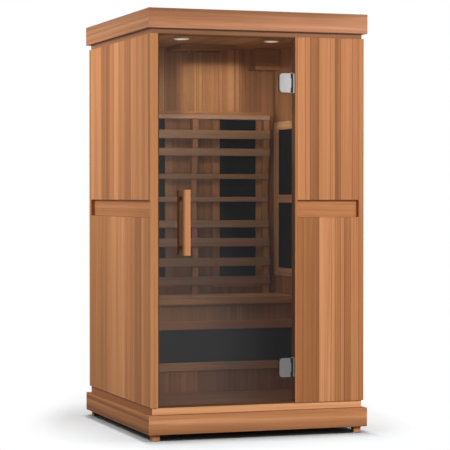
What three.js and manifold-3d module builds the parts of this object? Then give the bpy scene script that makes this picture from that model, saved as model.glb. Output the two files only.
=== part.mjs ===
// Infrared sauna cabin for one person: cedar walls on a plinth, a glass door, a bench and carbon heaters.
// Millimetres, +Z up. The door side faces -Y, z = 0 is the ground and the origin is under the middle.
import * as THREE from "three";
import { mergeVertices } from "three/addons/utils/BufferGeometryUtils.js";
import Module from "manifold-3d";

const wasm = await Module();
wasm.setup();

// Outer sizes, from the ground up
const WALL_WIDTH = 1038;
const WALL_DEPTH = 1070;
const FOOT_HEIGHT = 28;
const PLINTH_HEIGHT = 88;
const FLOOR_THICKNESS = 33;
const WALL_HEIGHT = 1688;
const NECK_HEIGHT = 23;
const CROWN_HEIGHT = 90;
const OVERHANG = 13;
const NECK_INSET = 8;

// Shared by every joint: the space between pieces that touch, the bevel on board edges, the run-out of a cut
const FIT = 0.3;
const ARRIS = 1.5;
const CUT_PAST = 1;

// Plinth, feet and neck
const PLINTH_BOARD = 22;
const PLINTH_SHELF_REACH = 54;
const PLINTH_SHELF = 12;
const FOOT_SIZE = 36;
const NECK_BOARD = 30;

// Wall panels: vertical planks with a recessed horizontal band
const PANEL_THICKNESS = 44;
const PLANK_PITCH = 86;
const GROOVE = 1.2;
const BACK_STILE = 34;
const CORNER_STILE = 25;
const HINGE_STILE = 12;
const BAND_RISE = 858;
const BAND_HEIGHT = 79;
const BAND_RECESS = 18;
const BAND_BOARD = 6;
const JAMB_WIDTH = 35;
const JAMB_THICKNESS = 13;
const FRONT_PANEL_WIDTH = 343;

// Lining boards inside, with raised frames round the heater windows
const LINING_THICKNESS = 31;
const LEFT_LINING_SHORT = 82;
const FRAME_RAISE = 8;
const FRAME_RAIL = 40;
const SIDE_STILE = 62;
const BACK_FRAME_STILE = 38;
const BATTEN_REACH = 25;
const BATTEN_HEIGHT = 35;

// Heaters
const HEATER_PLAY = 1;
const HEATER_SETBACK = 4;
const HEATER_RIM = 7;
const HEATER_DISH = 2;
const SIDE_HEATER_WIDTH = 420;
const SIDE_HEATER_HEIGHT = 332;
const SIDE_HEATER_RISE = 133;
const SIDE_HEATER_FROM_BACK = 80;
const BACK_HEATER_FROM_SIDE = 102;
const BACK_HEATER_FROM_MIDDLE = 146;
const BACK_HEATER_HEIGHT = 815;
const BACK_HEATER_RISE = 74;
const CALF_HEATER_FROM_SIDE = 25;
const CALF_HEATER_HEIGHT = 160;
const CALF_HEATER_RISE = 146;

// Bench
const SEAT_HEIGHT = 457;
const SEAT_DEPTH = 430;
const SEAT_THICKNESS = 33;
const NOSING_RADIUS = 9;
const RISER_SETBACK = 22;
const RISER_THICKNESS = 22;
const RISER_RAIL_RAISE = 8;

// Backrest: the slats follow a wave that is deepest behind the middle of the back
const BACKREST_HEIGHT = 909;
const SLAT_FROM_SIDE = 46;
const SLAT_THICKNESS = 12;
const SLAT_EDGE = 3;
const POST_WIDTH = 28;
const WAVE_RISE = 482;
const WAVE_LENGTH = 646;
const WAVE_HEIGHT = 28.5;
const WAVE_CLEARANCE = 40;
const SLAT_WIDE = 43;
const SLAT_MEDIUM = 38;
const SLAT_NARROW = 25;
const SLAT_TOP = 20;

// Each slat's place is a share of the backrest's height, listed from the top down
const SLATS = [
  { share: 0.989, width: SLAT_TOP },
  { share: 0.892, width: SLAT_WIDE },
  { share: 0.793, width: SLAT_MEDIUM },
  { share: 0.657, width: SLAT_NARROW },
  { share: 0.53, width: SLAT_NARROW },
  { share: 0.393, width: SLAT_MEDIUM },
  { share: 0.29, width: SLAT_WIDE },
  { share: 0.18, width: SLAT_WIDE },
  { share: 0.075, width: SLAT_WIDE },
];

// Ceiling, roof and what they carry
const CEILING_RISE = 18;
const CEILING_THICKNESS = 18;
const CROWN_BOARD = 20;
const CROWN_FLANGE = 12;
const ROOF_LEDGE_REACH = 14;
const ROOF_LEDGE = 18;
const ROOF_THICKNESS = 12;
const ROOF_RECESS = 8;
const LIGHT_DIAMETER = 73;
const LIGHT_BODY_DIAMETER = 58;
const LIGHT_BODY_HEIGHT = 34;
const LIGHT_RIM = 4;
const LIGHT_FROM_SIDE = 216;
const LIGHT_FROM_FRONT = 455;
const VENT_WIDTH = 280;
const VENT_DEPTH = 240;
const VENT_PLATE = 10;
const VENT_FROM_BACK = 20;
const VENT_RAIL = 14;
const VENT_LIP = 8;
const VENT_LIP_THICKNESS = 5;
const VENT_HOLE_WIDTH = 108;
const VENT_HOLE_DEPTH = 150;
const COVER_WIDTH = 136;
const COVER_THICKNESS = 9;
const COVER_PLAY = 1;
const COVER_MARGIN = 4;
const KNOB_DIAMETER = 22;
const KNOB_HEIGHT = 14;
const SPEAKER_WIDTH = 132;
const SPEAKER_DEPTH = 92;
const SPEAKER_HEIGHT = 108;
const SPEAKER_LIP = 6;
const SPEAKER_BASE = 18;
const SPEAKER_HOLE = 64;
const SPEAKER_HOLE_HEIGHT = 40;
const POWER_WIDTH = 300;
const POWER_DEPTH = 190;
const POWER_HEIGHT = 34;
const POWER_EDGE = 8;
const POWER_FROM_SIDE = 51;
const GLAND_DIAMETER = 40;
const GLAND_FLANGE = 3;
const GLAND_NUT = 28;
const GLAND_HEIGHT = 7;
const GLAND_STEM = 18;
const GLAND_BORE = 10;
const GLAND_FROM_SIDE = 132;
const GLAND_FROM_BACK = 140;

// Control panel on the inner face of the front wall
const CONTROL_WIDTH = 150;
const CONTROL_HEIGHT = 104;
const CONTROL_THICKNESS = 12;
const CONTROL_CORNER = 10;
const CONTROL_RIM = 8;
const CONTROL_DISH = 1.5;
const CONTROL_RISE = 1150;

// Door: glass, wall-to-glass hinges and a pair of wooden handles
const GLASS_THICKNESS = 8;
const GLASS_SETBACK = 3;
const GLASS_CORNER = 4;
const DOOR_GAP = 4;
const HINGE_HEIGHT = 88;
const HINGE_UPPER_DROP = 212;
const HINGE_LOWER_RISE = 165;
const HINGE_AXIS_INSET = 14;
const PLATE_WIDTH = 54;
const PLATE_THICKNESS = 6;
const PLATE_CORNER = 16;
const PLATE_FROM_AXIS = 9.5;
const KNUCKLE_RADIUS = 7.5;
const KNUCKLE_SHARE = 0.5;
const KNUCKLE_WEB = 6;
const LEAF_THICKNESS = 6;
const LEAF_DEPTH = 38;
const LEAF_SETBACK = 5;
const PIN_RADIUS = 4;
const PIN_HEAD_RADIUS = 6.5;
const PIN_HEAD = 3;
const HANDLE_LENGTH = 296;
const HANDLE_WIDTH = 35;
const OUTER_BAR_THICKNESS = 30;
const OUTER_BAR_ROUND = 12;
const INNER_BAR_THICKNESS = 18;
const INNER_BAR_ROUND = 7;
const HANDLE_FROM_EDGE = 118.5;
const HANDLE_RISE = 836;
const STANDOFF = 24;
const STANDOFF_RADIUS = 9;
const STANDOFF_SPACING = 224;
const STUD_RADIUS = 4;
const STUD_REACH = 20;
const STUD_PLAY = 0.8;

// Levels and planes worked out from the sizes above
const floorZ = FOOT_HEIGHT + PLINTH_HEIGHT;
const wallZ = floorZ + FLOOR_THICKNESS;
const neckZ = wallZ + WALL_HEIGHT;
const crownZ = neckZ + NECK_HEIGHT;
const topZ = crownZ + CROWN_HEIGHT;
const ceilingZ = neckZ + CEILING_RISE;
const seatZ = wallZ + SEAT_HEIGHT;
const halfWidth = WALL_WIDTH / 2;
const halfDepth = WALL_DEPTH / 2;
const roomX = halfWidth - PANEL_THICKNESS - LINING_THICKNESS;
const roomBack = halfDepth - PANEL_THICKNESS - LINING_THICKNESS;
const roomFront = PANEL_THICKNESS - halfDepth;
const slatLength = 2 * (roomX - SLAT_FROM_SIDE);
const seatFront = roomBack - SEAT_DEPTH;
const riserBack = seatFront + RISER_SETBACK + RISER_THICKNESS;
const openingLeft = JAMB_WIDTH - halfWidth;
const openingRight = halfWidth - FRONT_PANEL_WIDTH;
const glassFront = GLASS_SETBACK - halfDepth;
const ventCentreY = roomBack - VENT_FROM_BACK - VENT_DEPTH / 2;
const ventHoleX = COVER_MARGIN + COVER_WIDTH / 2 - VENT_WIDTH / 2;
const roofZ = topZ - ROOF_RECESS - ROOF_THICKNESS;
const handleReach = FIT + STANDOFF + OUTER_BAR_THICKNESS - GLASS_SETBACK;

const cedar = new THREE.MeshStandardMaterial({ color: 0xc9936b, roughness: 0.62, metalness: 0 });
const cedarDark = new THREE.MeshStandardMaterial({ color: 0xb57d55, roughness: 0.66, metalness: 0 });
const cedarLight = new THREE.MeshStandardMaterial({ color: 0xdcae86, roughness: 0.58, metalness: 0 });
const carbon = new THREE.MeshStandardMaterial({ color: 0x2b2b2d, roughness: 0.8, metalness: 0 });
const steel = new THREE.MeshStandardMaterial({ color: 0xc9c9c6, roughness: 0.35, metalness: 1 });
const bronzeGlass = new THREE.MeshStandardMaterial({
  color: 0x7d6a58,
  roughness: 0.05,
  metalness: 0,
  transparent: true,
  opacity: 0.4,
});
const blackPlastic = new THREE.MeshStandardMaterial({ color: 0x1d1d1f, roughness: 0.4, metalness: 0 });
const paleBezel = new THREE.MeshStandardMaterial({ color: 0xe6e4de, roughness: 0.4, metalness: 0 });

// One named piece of the cabin.
function piece(name, geometry, material) {
  const mesh = new THREE.Mesh(geometry, material);
  mesh.name = name;
  return mesh;
}

// A box between two corners, given as ranges along X, Y and Z.
function block([x0, x1], [y0, y1], [z0, z1]) {
  const box = new THREE.BoxGeometry(x1 - x0, y1 - y0, z1 - z0);
  return box.translate((x0 + x1) / 2, (y0 + y1) / 2, (z0 + z1) / 2);
}

// An upright round bar on the point (x, y), between two heights.
function rod(radius, x, y, [z0, z1], sides = 24) {
  const bar = new THREE.CylinderGeometry(radius, radius, z1 - z0, sides);
  return bar.rotateX(Math.PI / 2).translate(x, y, (z0 + z1) / 2);
}

// A shape drawn in (x, y), raised between two heights.
function alongZ(shape, [z0, z1], curveSegments = 5) {
  const options = { depth: z1 - z0, bevelEnabled: false, curveSegments };
  return new THREE.ExtrudeGeometry(shape, options).translate(0, 0, z0);
}

// A shape drawn in (y, z), run along X.
function alongX(shape, [x0, x1], curveSegments = 5) {
  const turn = new THREE.Matrix4().makeBasis(
    new THREE.Vector3(0, 1, 0),
    new THREE.Vector3(0, 0, 1),
    new THREE.Vector3(1, 0, 0),
  );
  const options = { depth: x1 - x0, bevelEnabled: false, curveSegments };
  return new THREE.ExtrudeGeometry(shape, options).applyMatrix4(turn).translate(x0, 0, 0);
}

// A shape drawn in (x, z), run along Y.
function alongY(shape, [y0, y1], curveSegments = 5) {
  const options = { depth: y1 - y0, bevelEnabled: false, curveSegments };
  return new THREE.ExtrudeGeometry(shape, options).rotateX(Math.PI / 2).translate(0, y1, 0);
}

function polygon(points) {
  return new THREE.Shape(points.map(([u, v]) => new THREE.Vector2(u, v)));
}

// A rectangle with rounded corners, listed as [left-bottom, right-bottom, right-top, left-top] radii.
function roundedRectangle([u0, u1], [v0, v1], [lowLeft, lowRight, topRight, topLeft]) {
  const shape = new THREE.Shape();
  const quarter = Math.PI / 2;
  const corner = (u, v, radius, start) => {
    if (radius > 0) shape.absarc(u, v, radius, start, start + quarter, false);
    else shape.lineTo(u, v);
  };
  shape.moveTo(u0 + lowLeft, v0);
  corner(u1 - lowRight, v0 + lowRight, lowRight, -quarter);
  corner(u1 - topRight, v1 - topRight, topRight, 0);
  corner(u0 + topLeft, v1 - topLeft, topLeft, quarter);
  corner(u0 + lowLeft, v0 + lowLeft, lowLeft, 2 * quarter);
  return shape;
}

function toSolid(geometry) {
  const bare = geometry.clone();
  bare.deleteAttribute("normal");
  bare.deleteAttribute("uv");
  const merged = mergeVertices(bare, 1e-4);
  const vertProperties = new Float32Array(merged.attributes.position.array);
  const triVerts = new Uint32Array(merged.index.array);
  return new wasm.Manifold(new wasm.Mesh({ numProp: 3, vertProperties, triVerts }));
}

function toGeometry(solid) {
  const { vertProperties, triVerts } = solid.getMesh();
  const geometry = new THREE.BufferGeometry();
  geometry.setAttribute("position", new THREE.BufferAttribute(vertProperties, 3));
  geometry.setIndex(new THREE.BufferAttribute(triVerts, 1));
  geometry.computeVertexNormals();
  return geometry;
}

// Joins the first list of shapes and takes the second list away from the result.
function build(shapes, cuts = []) {
  const [first, ...others] = shapes.map(toSolid);
  const whole = others.reduce((solid, other) => solid.add(other), first);
  return toGeometry(cuts.map(toSolid).reduce((solid, cut) => solid.subtract(cut), whole));
}

// A profile of [inset, height] points run round a rectangle with mitred corners.
function mitredFrame(profile, halfX, halfY) {
  const corners = [[1, -1], [1, 1], [-1, 1], [-1, -1]];
  const positions = corners.flatMap(([sideX, sideY]) =>
    profile.flatMap(([inset, z]) => [sideX * (halfX - inset), sideY * (halfY - inset), z]),
  );
  const count = profile.length;
  const faces = [];
  for (let corner = 0; corner < 4; corner++) {
    for (let point = 0; point < count; point++) {
      const a = corner * count + point;
      const b = corner * count + ((point + 1) % count);
      const c = ((corner + 1) % 4) * count + point;
      const d = ((corner + 1) % 4) * count + ((point + 1) % count);
      faces.push(a, c, d, a, d, b);
    }
  }
  const geometry = new THREE.BufferGeometry();
  geometry.setAttribute("position", new THREE.Float32BufferAttribute(positions, 3));
  geometry.setIndex(faces);
  geometry.computeVertexNormals();
  return geometry;
}

// The joints between planks that share a width evenly, ends included.
function plankJoints(start, end) {
  const count = Math.max(1, Math.round((end - start) / PLANK_PITCH));
  return Array.from({ length: count + 1 }, (_, index) => start + ((end - start) * index) / count);
}

// The plan of a board field, 0 to length along x: its face is at y = thickness, with a V groove at joints.
function plankedPlan(length, thickness, joints) {
  const inside = joints.filter((joint) => joint > 2 * GROOVE && joint < length - 2 * GROOVE);
  const grooves = inside
    .reverse()
    .flatMap((x) => [[x + GROOVE, thickness], [x, thickness - GROOVE], [x - GROOVE, thickness]]);
  return polygon([[0, 0], [length, 0], [length, thickness], ...grooves, [0, thickness]]);
}

function addPlinthAndFloor(cabin) {
  const outerX = halfWidth + OVERHANG;
  const outerY = halfDepth + OVERHANG;
  const plinthProfile = [
    [ARRIS, FOOT_HEIGHT],
    [0, FOOT_HEIGHT + ARRIS],
    [0, floorZ - ARRIS],
    [ARRIS, floorZ],
    [PLINTH_SHELF_REACH, floorZ],
    [PLINTH_SHELF_REACH, floorZ - PLINTH_SHELF],
    [PLINTH_BOARD, floorZ - PLINTH_SHELF],
    [PLINTH_BOARD, FOOT_HEIGHT],
  ];
  cabin.add(piece("plinth_frame", mitredFrame(plinthProfile, outerX, outerY), cedar));

  const footTop = floorZ - PLINTH_SHELF - FIT;
  const footCentre = PLINTH_BOARD + FIT + FOOT_SIZE / 2;
  const half = FOOT_SIZE / 2;
  const footPlan = roundedRectangle([-half, half], [-half, half], [ARRIS, ARRIS, ARRIS, ARRIS]);
  const sides = { left: -1, right: 1 };
  const ends = { front: -1, back: 1 };
  for (const [end, sideY] of Object.entries(ends)) {
    for (const [side, sideX] of Object.entries(sides)) {
      const foot = piece(`foot_${end}_${side}`, alongZ(footPlan, [0, footTop], 1), cedarDark);
      foot.position.set(sideX * (outerX - footCentre), sideY * (outerY - footCentre), 0);
      cabin.add(foot);
    }
  }

  const floorX = halfWidth - NECK_INSET;
  const floorY = halfDepth - NECK_INSET;
  const floor = block([-floorX, floorX], [-floorY, floorY], [floorZ + FIT, wallZ]);
  cabin.add(piece("floor_panel", floor, cedarLight));
}

// A wall panel stands on z = 0 with its outer face at y = thickness; the band is let in between the stiles.
function wallPanel(length, height, startStile, endStile) {
  const plan = plankedPlan(length, PANEL_THICKNESS, plankJoints(startStile, length - endStile));
  const board = alongZ(plan, [0, height]);
  const pocketStart = startStile > 0 ? startStile : -CUT_PAST;
  const pocketFloor = PANEL_THICKNESS - BAND_RECESS - BAND_BOARD - FIT;
  const pocket = block(
    [pocketStart, length - endStile],
    [pocketFloor, PANEL_THICKNESS + CUT_PAST],
    [BAND_RISE, BAND_RISE + BAND_HEIGHT],
  );
  return build([board], [pocket]);
}

function bandBoard(length, startStile, endStile) {
  const face = PANEL_THICKNESS - BAND_RECESS;
  return block(
    [startStile + FIT, length - endStile - FIT],
    [face - BAND_BOARD, face],
    [BAND_RISE + FIT, BAND_RISE + BAND_HEIGHT - FIT],
  );
}

function addWalls(cabin) {
  const height = WALL_HEIGHT - FIT;
  const sideX = halfWidth - PANEL_THICKNESS;
  const backY = halfDepth - PANEL_THICKNESS;
  const leftStart = JAMB_THICKNESS + FIT - halfDepth;
  const leftLength = halfDepth - leftStart;
  const rightLength = WALL_DEPTH - PANEL_THICKNESS - FIT;
  const walls = [
    { name: "left_wall", turn: 1, x: -sideX, y: leftStart, length: leftLength, stiles: [0, BACK_STILE] },
    {
      name: "right_wall",
      turn: -1,
      x: sideX,
      y: halfDepth,
      length: rightLength,
      stiles: [BACK_STILE, HINGE_STILE],
    },
    {
      name: "front_wall",
      turn: 2,
      x: halfWidth,
      y: roomFront,
      length: FRONT_PANEL_WIDTH,
      stiles: [CORNER_STILE, HINGE_STILE],
    },
  ];
  for (const { name, turn, x, y, length, stiles } of walls) {
    const wall = new THREE.Group();
    wall.position.set(x, y, wallZ + FIT);
    wall.rotation.z = (turn * Math.PI) / 2;
    wall.add(piece(`${name}_panel`, wallPanel(length, height, ...stiles), cedar));
    wall.add(piece(`${name}_band`, bandBoard(length, ...stiles), cedarDark));
    cabin.add(wall);
  }

  const backLength = 2 * (sideX - FIT);
  const backJoints = plankJoints(BACK_STILE, backLength - BACK_STILE);
  const back = piece(
    "back_wall_panel",
    alongZ(plankedPlan(backLength, PANEL_THICKNESS, backJoints), [0, height]),
    cedar,
  );
  back.position.set(FIT - sideX, backY, wallZ + FIT);
  cabin.add(back);

  const jambPlan = polygon([
    [ARRIS, 0],
    [JAMB_WIDTH - ARRIS, 0],
    [JAMB_WIDTH, ARRIS],
    [JAMB_WIDTH, JAMB_THICKNESS],
    [0, JAMB_THICKNESS],
    [0, ARRIS],
  ]);
  const jamb = piece("front_left_jamb", alongZ(jambPlan, [0, height]), cedarLight);
  jamb.position.set(-halfWidth, -halfDepth, wallZ + FIT);
  cabin.add(jamb);
}

// A lining stands on z = 0 with its room face at y = thickness. Raised frames and battens are planted on it.
function liningBoard(length, planted, windows) {
  const thickness = LINING_THICKNESS - FIT;
  const height = ceilingZ - wallZ - 2 * FIT;
  const board = alongZ(plankedPlan(length, thickness, plankJoints(0, length)), [0, height]);
  const raised = planted.map(({ x, z, reach }) => block(x, [thickness - 2 * GROOVE, thickness + reach], z));
  const cuts = windows.map(({ x, z }) => block(x, [-CUT_PAST, thickness + FRAME_RAISE + CUT_PAST], z));
  return build([board, ...raised], cuts);
}

// A heater fills its window less a little play, and has a shallow dish inside its rim.
function heaterPanel({ x, z }, depth) {
  const [x0, x1] = [x[0] + HEATER_PLAY, x[1] - HEATER_PLAY];
  const [z0, z1] = [z[0] + HEATER_PLAY, z[1] - HEATER_PLAY];
  const dish = block(
    [x0 + HEATER_RIM, x1 - HEATER_RIM],
    [depth - HEATER_DISH, depth + CUT_PAST],
    [z0 + HEATER_RIM, z1 - HEATER_RIM],
  );
  return build([block([x0, x1], [FIT, depth], [z0, z1])], [dish]);
}

function addLiningsAndHeaters(cabin) {
  const faceDepth = LINING_THICKNESS - FIT + FRAME_RAISE - HEATER_SETBACK;
  const baseZ = wallZ + FIT;
  const battenTop = seatZ - SEAT_THICKNESS - FIT - baseZ;
  const battenZ = [battenTop - BATTEN_HEIGHT, battenTop];
  const sideLength = WALL_DEPTH - 2 * PANEL_THICKNESS - 2 * FIT;
  const backEdge = LINING_THICKNESS - FIT;

  const lowerZ = seatZ + SIDE_HEATER_RISE - baseZ;
  const upperZ = lowerZ + SIDE_HEATER_HEIGHT + FRAME_RAIL;
  const windowZ = { lower: lowerZ, upper: upperZ };
  const sides = { left: -1, right: 1 };
  for (const [side, sign] of Object.entries(sides)) {
    // Distances along the wall are counted from its back end on the left and its front end on the right.
    const fromBack = (distance) => (sign < 0 ? distance : sideLength - distance);
    const span = (near, far) => [fromBack(near), fromBack(far)].sort((a, b) => a - b);
    const heaterNear = backEdge + SIDE_HEATER_FROM_BACK;
    const heaterX = span(heaterNear, heaterNear + SIDE_HEATER_WIDTH);
    const windows = Object.entries(windowZ).map(([level, z]) => ({
      level,
      x: heaterX,
      z: [z, z + SIDE_HEATER_HEIGHT],
    }));
    const frame = {
      x: [heaterX[0] - SIDE_STILE, heaterX[1] + SIDE_STILE],
      z: [lowerZ - FRAME_RAIL, upperZ + SIDE_HEATER_HEIGHT + FRAME_RAIL],
      reach: FRAME_RAISE,
    };
    const battenEnd = backEdge + roomBack - riserBack - FIT;
    const batten = { x: span(backEdge + FIT, battenEnd), z: battenZ, reach: BATTEN_REACH };

    const wall = new THREE.Group();
    wall.position.set(sign * (halfWidth - PANEL_THICKNESS - FIT), -sign * (sideLength / 2), baseZ);
    wall.rotation.z = (sign * Math.PI) / 2;
    // The left lining ends short of the door, so that only the jamb shows beside the glass.
    const length = sign < 0 ? sideLength - LEFT_LINING_SHORT : sideLength;
    wall.add(piece(`${side}_lining`, liningBoard(length, [frame, batten], windows), cedar));
    for (const window of windows) {
      wall.add(piece(`${side}_heater_${window.level}`, heaterPanel(window, faceDepth), carbon));
    }
    cabin.add(wall);
  }

  const backLength = 2 * (roomX - FIT);
  const middle = backLength / 2;
  const heaterZ = [seatZ + BACK_HEATER_RISE - baseZ, seatZ + BACK_HEATER_RISE + BACK_HEATER_HEIGHT - baseZ];
  const heaterX = [middle + BACK_HEATER_FROM_MIDDLE, middle + roomX - BACK_HEATER_FROM_SIDE];
  const windows = [
    { side: "left", x: heaterX, z: heaterZ },
    { side: "right", x: [backLength - heaterX[1], backLength - heaterX[0]], z: heaterZ },
  ];
  const frames = windows.map(({ x, z }) => ({
    x: [x[0] - BACK_FRAME_STILE, x[1] + BACK_FRAME_STILE],
    z: [z[0] - FRAME_RAIL, z[1] + FRAME_RAIL],
    reach: FRAME_RAISE,
  }));
  const rail = {
    x: [middle - slatLength / 2, middle + slatLength / 2],
    z: [heaterZ[1], heaterZ[1] + FRAME_RAIL],
    reach: FRAME_RAISE,
  };
  const battenSpan = middle - BATTEN_REACH - 2 * FIT;
  const batten = { x: [middle - battenSpan, middle + battenSpan], z: battenZ, reach: BATTEN_REACH };
  const wall = new THREE.Group();
  wall.position.set(backLength / 2, roomBack + LINING_THICKNESS - FIT, baseZ);
  wall.rotation.z = Math.PI;
  wall.add(piece("back_lining", liningBoard(backLength, [...frames, rail, batten], windows), cedar));
  for (const window of windows) {
    wall.add(piece(`back_heater_${window.side}`, heaterPanel(window, faceDepth), carbon));
  }
  cabin.add(wall);
}

function addBench(cabin) {
  const nosing = [NOSING_RADIUS, 0, 0, NOSING_RADIUS];
  const seatProfile = roundedRectangle([seatFront, roomBack - FIT], [seatZ - SEAT_THICKNESS, seatZ], nosing);
  const seatX = roomX - FIT;
  cabin.add(piece("bench_seat", alongX(seatProfile, [-seatX, seatX]), cedarLight));

  const length = 2 * seatX;
  const height = seatZ - SEAT_THICKNESS - wallZ - 2 * FIT;
  const heaterX = [CALF_HEATER_FROM_SIDE, length - CALF_HEATER_FROM_SIDE];
  const heaterZ = [CALF_HEATER_RISE, CALF_HEATER_RISE + CALF_HEATER_HEIGHT];
  const board = alongZ(plankedPlan(length, RISER_THICKNESS, plankJoints(0, length)), [0, height]);
  const railFace = RISER_THICKNESS + RISER_RAIL_RAISE;
  const rails = block(
    [0, length],
    [RISER_THICKNESS - 2 * GROOVE, railFace],
    [heaterZ[0] - FRAME_RAIL, heaterZ[1] + FRAME_RAIL],
  );
  const window = block(heaterX, [-CUT_PAST, railFace + CUT_PAST], heaterZ);
  const front = new THREE.Group();
  front.position.set(seatX, riserBack, wallZ + FIT);
  front.rotation.z = Math.PI;
  front.add(piece("bench_front", build([board, rails], [window]), cedar));
  const heater = heaterPanel({ x: heaterX, z: heaterZ }, railFace - HEATER_SETBACK);
  front.add(piece("calf_heater", heater, carbon));
  cabin.add(front);
}

// The line of the slats' front faces at a height above the seat: its depth and its slope there.
function backrestWave(rise) {
  const deepest = roomBack - WAVE_CLEARANCE;
  const phase = (2 * Math.PI * (rise - WAVE_RISE)) / WAVE_LENGTH;
  return {
    y: deepest - (WAVE_HEIGHT / 2) * (1 - Math.cos(phase)),
    slope: -((WAVE_HEIGHT * Math.PI) / WAVE_LENGTH) * Math.sin(phase),
  };
}

// Where a slat stands: the middle of its front face, the direction up its face and the one through it.
function slatPlace({ share, width }) {
  const rise = share * BACKREST_HEIGHT;
  const { y, slope } = backrestWave(rise);
  const up = new THREE.Vector2(slope, 1).normalize();
  const through = new THREE.Vector2(up.y, -up.x);
  return { face: new THREE.Vector2(y, seatZ + rise), up, through, width };
}

function addBackrest(cabin) {
  const places = SLATS.map(slatPlace);
  const halfThickness = SLAT_THICKNESS / 2;
  places.forEach(({ face, up, through, width }, index) => {
    const edges = [SLAT_EDGE, SLAT_EDGE, SLAT_EDGE, SLAT_EDGE];
    const section = roundedRectangle([-halfThickness, halfThickness], [-width / 2, width / 2], edges);
    const board = alongX(section, [-slatLength / 2, slatLength / 2], 3);
    const slat = piece(`backrest_slat_${index + 1}`, board, cedarLight);
    const centre = face.clone().addScaledVector(through, halfThickness);
    slat.position.set(0, centre.x, centre.y);
    slat.rotation.x = -Math.atan2(up.x, up.y);
    cabin.add(slat);
  });

  // Each slat is screwed to a flat on the posts' front edge, so the edge is a chain of those flats.
  const seats = places.flatMap(({ face, up, through, width }) => {
    const back = face.clone().addScaledVector(through, SLAT_THICKNESS + FIT);
    return [1, -1].map((end) => back.clone().addScaledVector(up, (end * width) / 2));
  });
  const postBack = roomBack - FRAME_RAISE - FIT;
  const foot = seatZ + FIT;
  const top = seats[0];
  const lowest = seats[seats.length - 1];
  const outline = new THREE.Shape([
    new THREE.Vector2(lowest.x, foot),
    new THREE.Vector2(postBack, foot),
    new THREE.Vector2(postBack, top.y),
    ...seats,
  ]);
  const halfPost = POST_WIDTH / 2;
  const postX = slatLength / 2 - halfPost;
  for (const [side, x] of Object.entries({ left: -postX, centre: 0, right: postX })) {
    const post = piece(`backrest_post_${side}`, alongX(outline, [-halfPost, halfPost]), cedarDark);
    post.position.x = x;
    cabin.add(post);
  }
}

// A recessed lamp: a thin rim below the ceiling and a round body through it, turned on its axis.
function downlight() {
  const rim = LIGHT_DIAMETER / 2;
  const body = LIGHT_BODY_DIAMETER / 2;
  const profile = [
    [0, -LIGHT_RIM / 2],
    [body - LIGHT_RIM, -LIGHT_RIM / 2],
    [body, -LIGHT_RIM],
    [rim - LIGHT_RIM / 2, -LIGHT_RIM],
    [rim, -FIT],
    [body, -FIT],
    [body, LIGHT_BODY_HEIGHT],
    [0, LIGHT_BODY_HEIGHT],
  ];
  const turned = new THREE.LatheGeometry(polygon(profile).getPoints(), 32);
  return turned.rotateX(Math.PI / 2);
}

function addCeilingAndLights(cabin) {
  const neckProfile = [
    [NECK_INSET, neckZ + FIT],
    [NECK_INSET, crownZ],
    [NECK_INSET + NECK_BOARD, crownZ],
    [NECK_INSET + NECK_BOARD, neckZ + FIT],
  ];
  cabin.add(piece("neck_frame", mitredFrame(neckProfile, halfWidth, halfDepth), cedarLight));

  const edge = NECK_INSET + NECK_BOARD + FIT;
  const ceilingX = halfWidth - edge;
  const ceilingY = halfDepth - edge;
  const ceilingTop = ceilingZ + CEILING_THICKNESS;
  const lightX = roomX - LIGHT_FROM_SIDE;
  const lightY = LIGHT_FROM_FRONT - halfDepth;
  const holeZ = [ceilingZ - CUT_PAST, ceilingTop + CUT_PAST];
  const lightHoles = [-lightX, lightX].map((x) =>
    rod(LIGHT_BODY_DIAMETER / 2 + FIT, x, lightY, holeZ, 32),
  );
  const board = block([-ceilingX, ceilingX], [-ceilingY, ceilingY], [ceilingZ, ceilingTop]);
  cabin.add(piece("ceiling_panel", build([board], [...lightHoles, ventHole(holeZ)]), cedar));

  for (const [side, x] of Object.entries({ left: -lightX, right: lightX })) {
    const lamp = piece(`downlight_${side}`, downlight(), paleBezel);
    lamp.position.set(x, lightY, ceilingZ);
    cabin.add(lamp);
  }
}

// The air hole is the same in the vent frame, the ceiling and the roof.
function ventHole(z) {
  const x = [ventHoleX - VENT_HOLE_WIDTH / 2, ventHoleX + VENT_HOLE_WIDTH / 2];
  return block(x, [ventCentreY - VENT_HOLE_DEPTH / 2, ventCentreY + VENT_HOLE_DEPTH / 2], z);
}

// A plate with two lipped rails under the ceiling, and a board that slides sideways between them.
function addVent(cabin) {
  const plateTop = ceilingZ - FIT;
  const plateBottom = plateTop - VENT_PLATE;
  const coverTop = plateBottom - COVER_PLAY;
  const coverBottom = coverTop - COVER_THICKNESS;
  const railBottom = coverBottom - COVER_PLAY - VENT_LIP_THICKNESS;
  const outer = VENT_DEPTH / 2;
  const inner = outer - VENT_RAIL;
  const lip = inner - VENT_LIP;
  const lipTop = railBottom + VENT_LIP_THICKNESS;
  const section = polygon([
    [-outer, railBottom],
    [-lip, railBottom],
    [-lip, lipTop],
    [-inner, lipTop],
    [-inner, plateBottom],
    [inner, plateBottom],
    [inner, lipTop],
    [lip, lipTop],
    [lip, railBottom],
    [outer, railBottom],
    [outer, plateTop],
    [-outer, plateTop],
  ]);
  const frame = alongX(section, [-VENT_WIDTH / 2, VENT_WIDTH / 2]).translate(0, ventCentreY, 0);
  const hole = ventHole([plateBottom - CUT_PAST, plateTop + CUT_PAST]);
  cabin.add(piece("vent_frame", build([frame], [hole]), cedarDark));

  const coverY = inner - COVER_PLAY;
  const halfCover = COVER_WIDTH / 2;
  const board = block([-halfCover, halfCover], [-coverY, coverY], [coverBottom, coverTop]);
  const knob = rod(KNOB_DIAMETER / 2, 0, 0, [coverBottom - KNOB_HEIGHT, coverBottom + CUT_PAST]);
  const cover = piece("vent_cover", build([board, knob]), cedarLight);
  cover.position.set(ventHoleX, ventCentreY, 0);
  cabin.add(cover);
}

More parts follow.
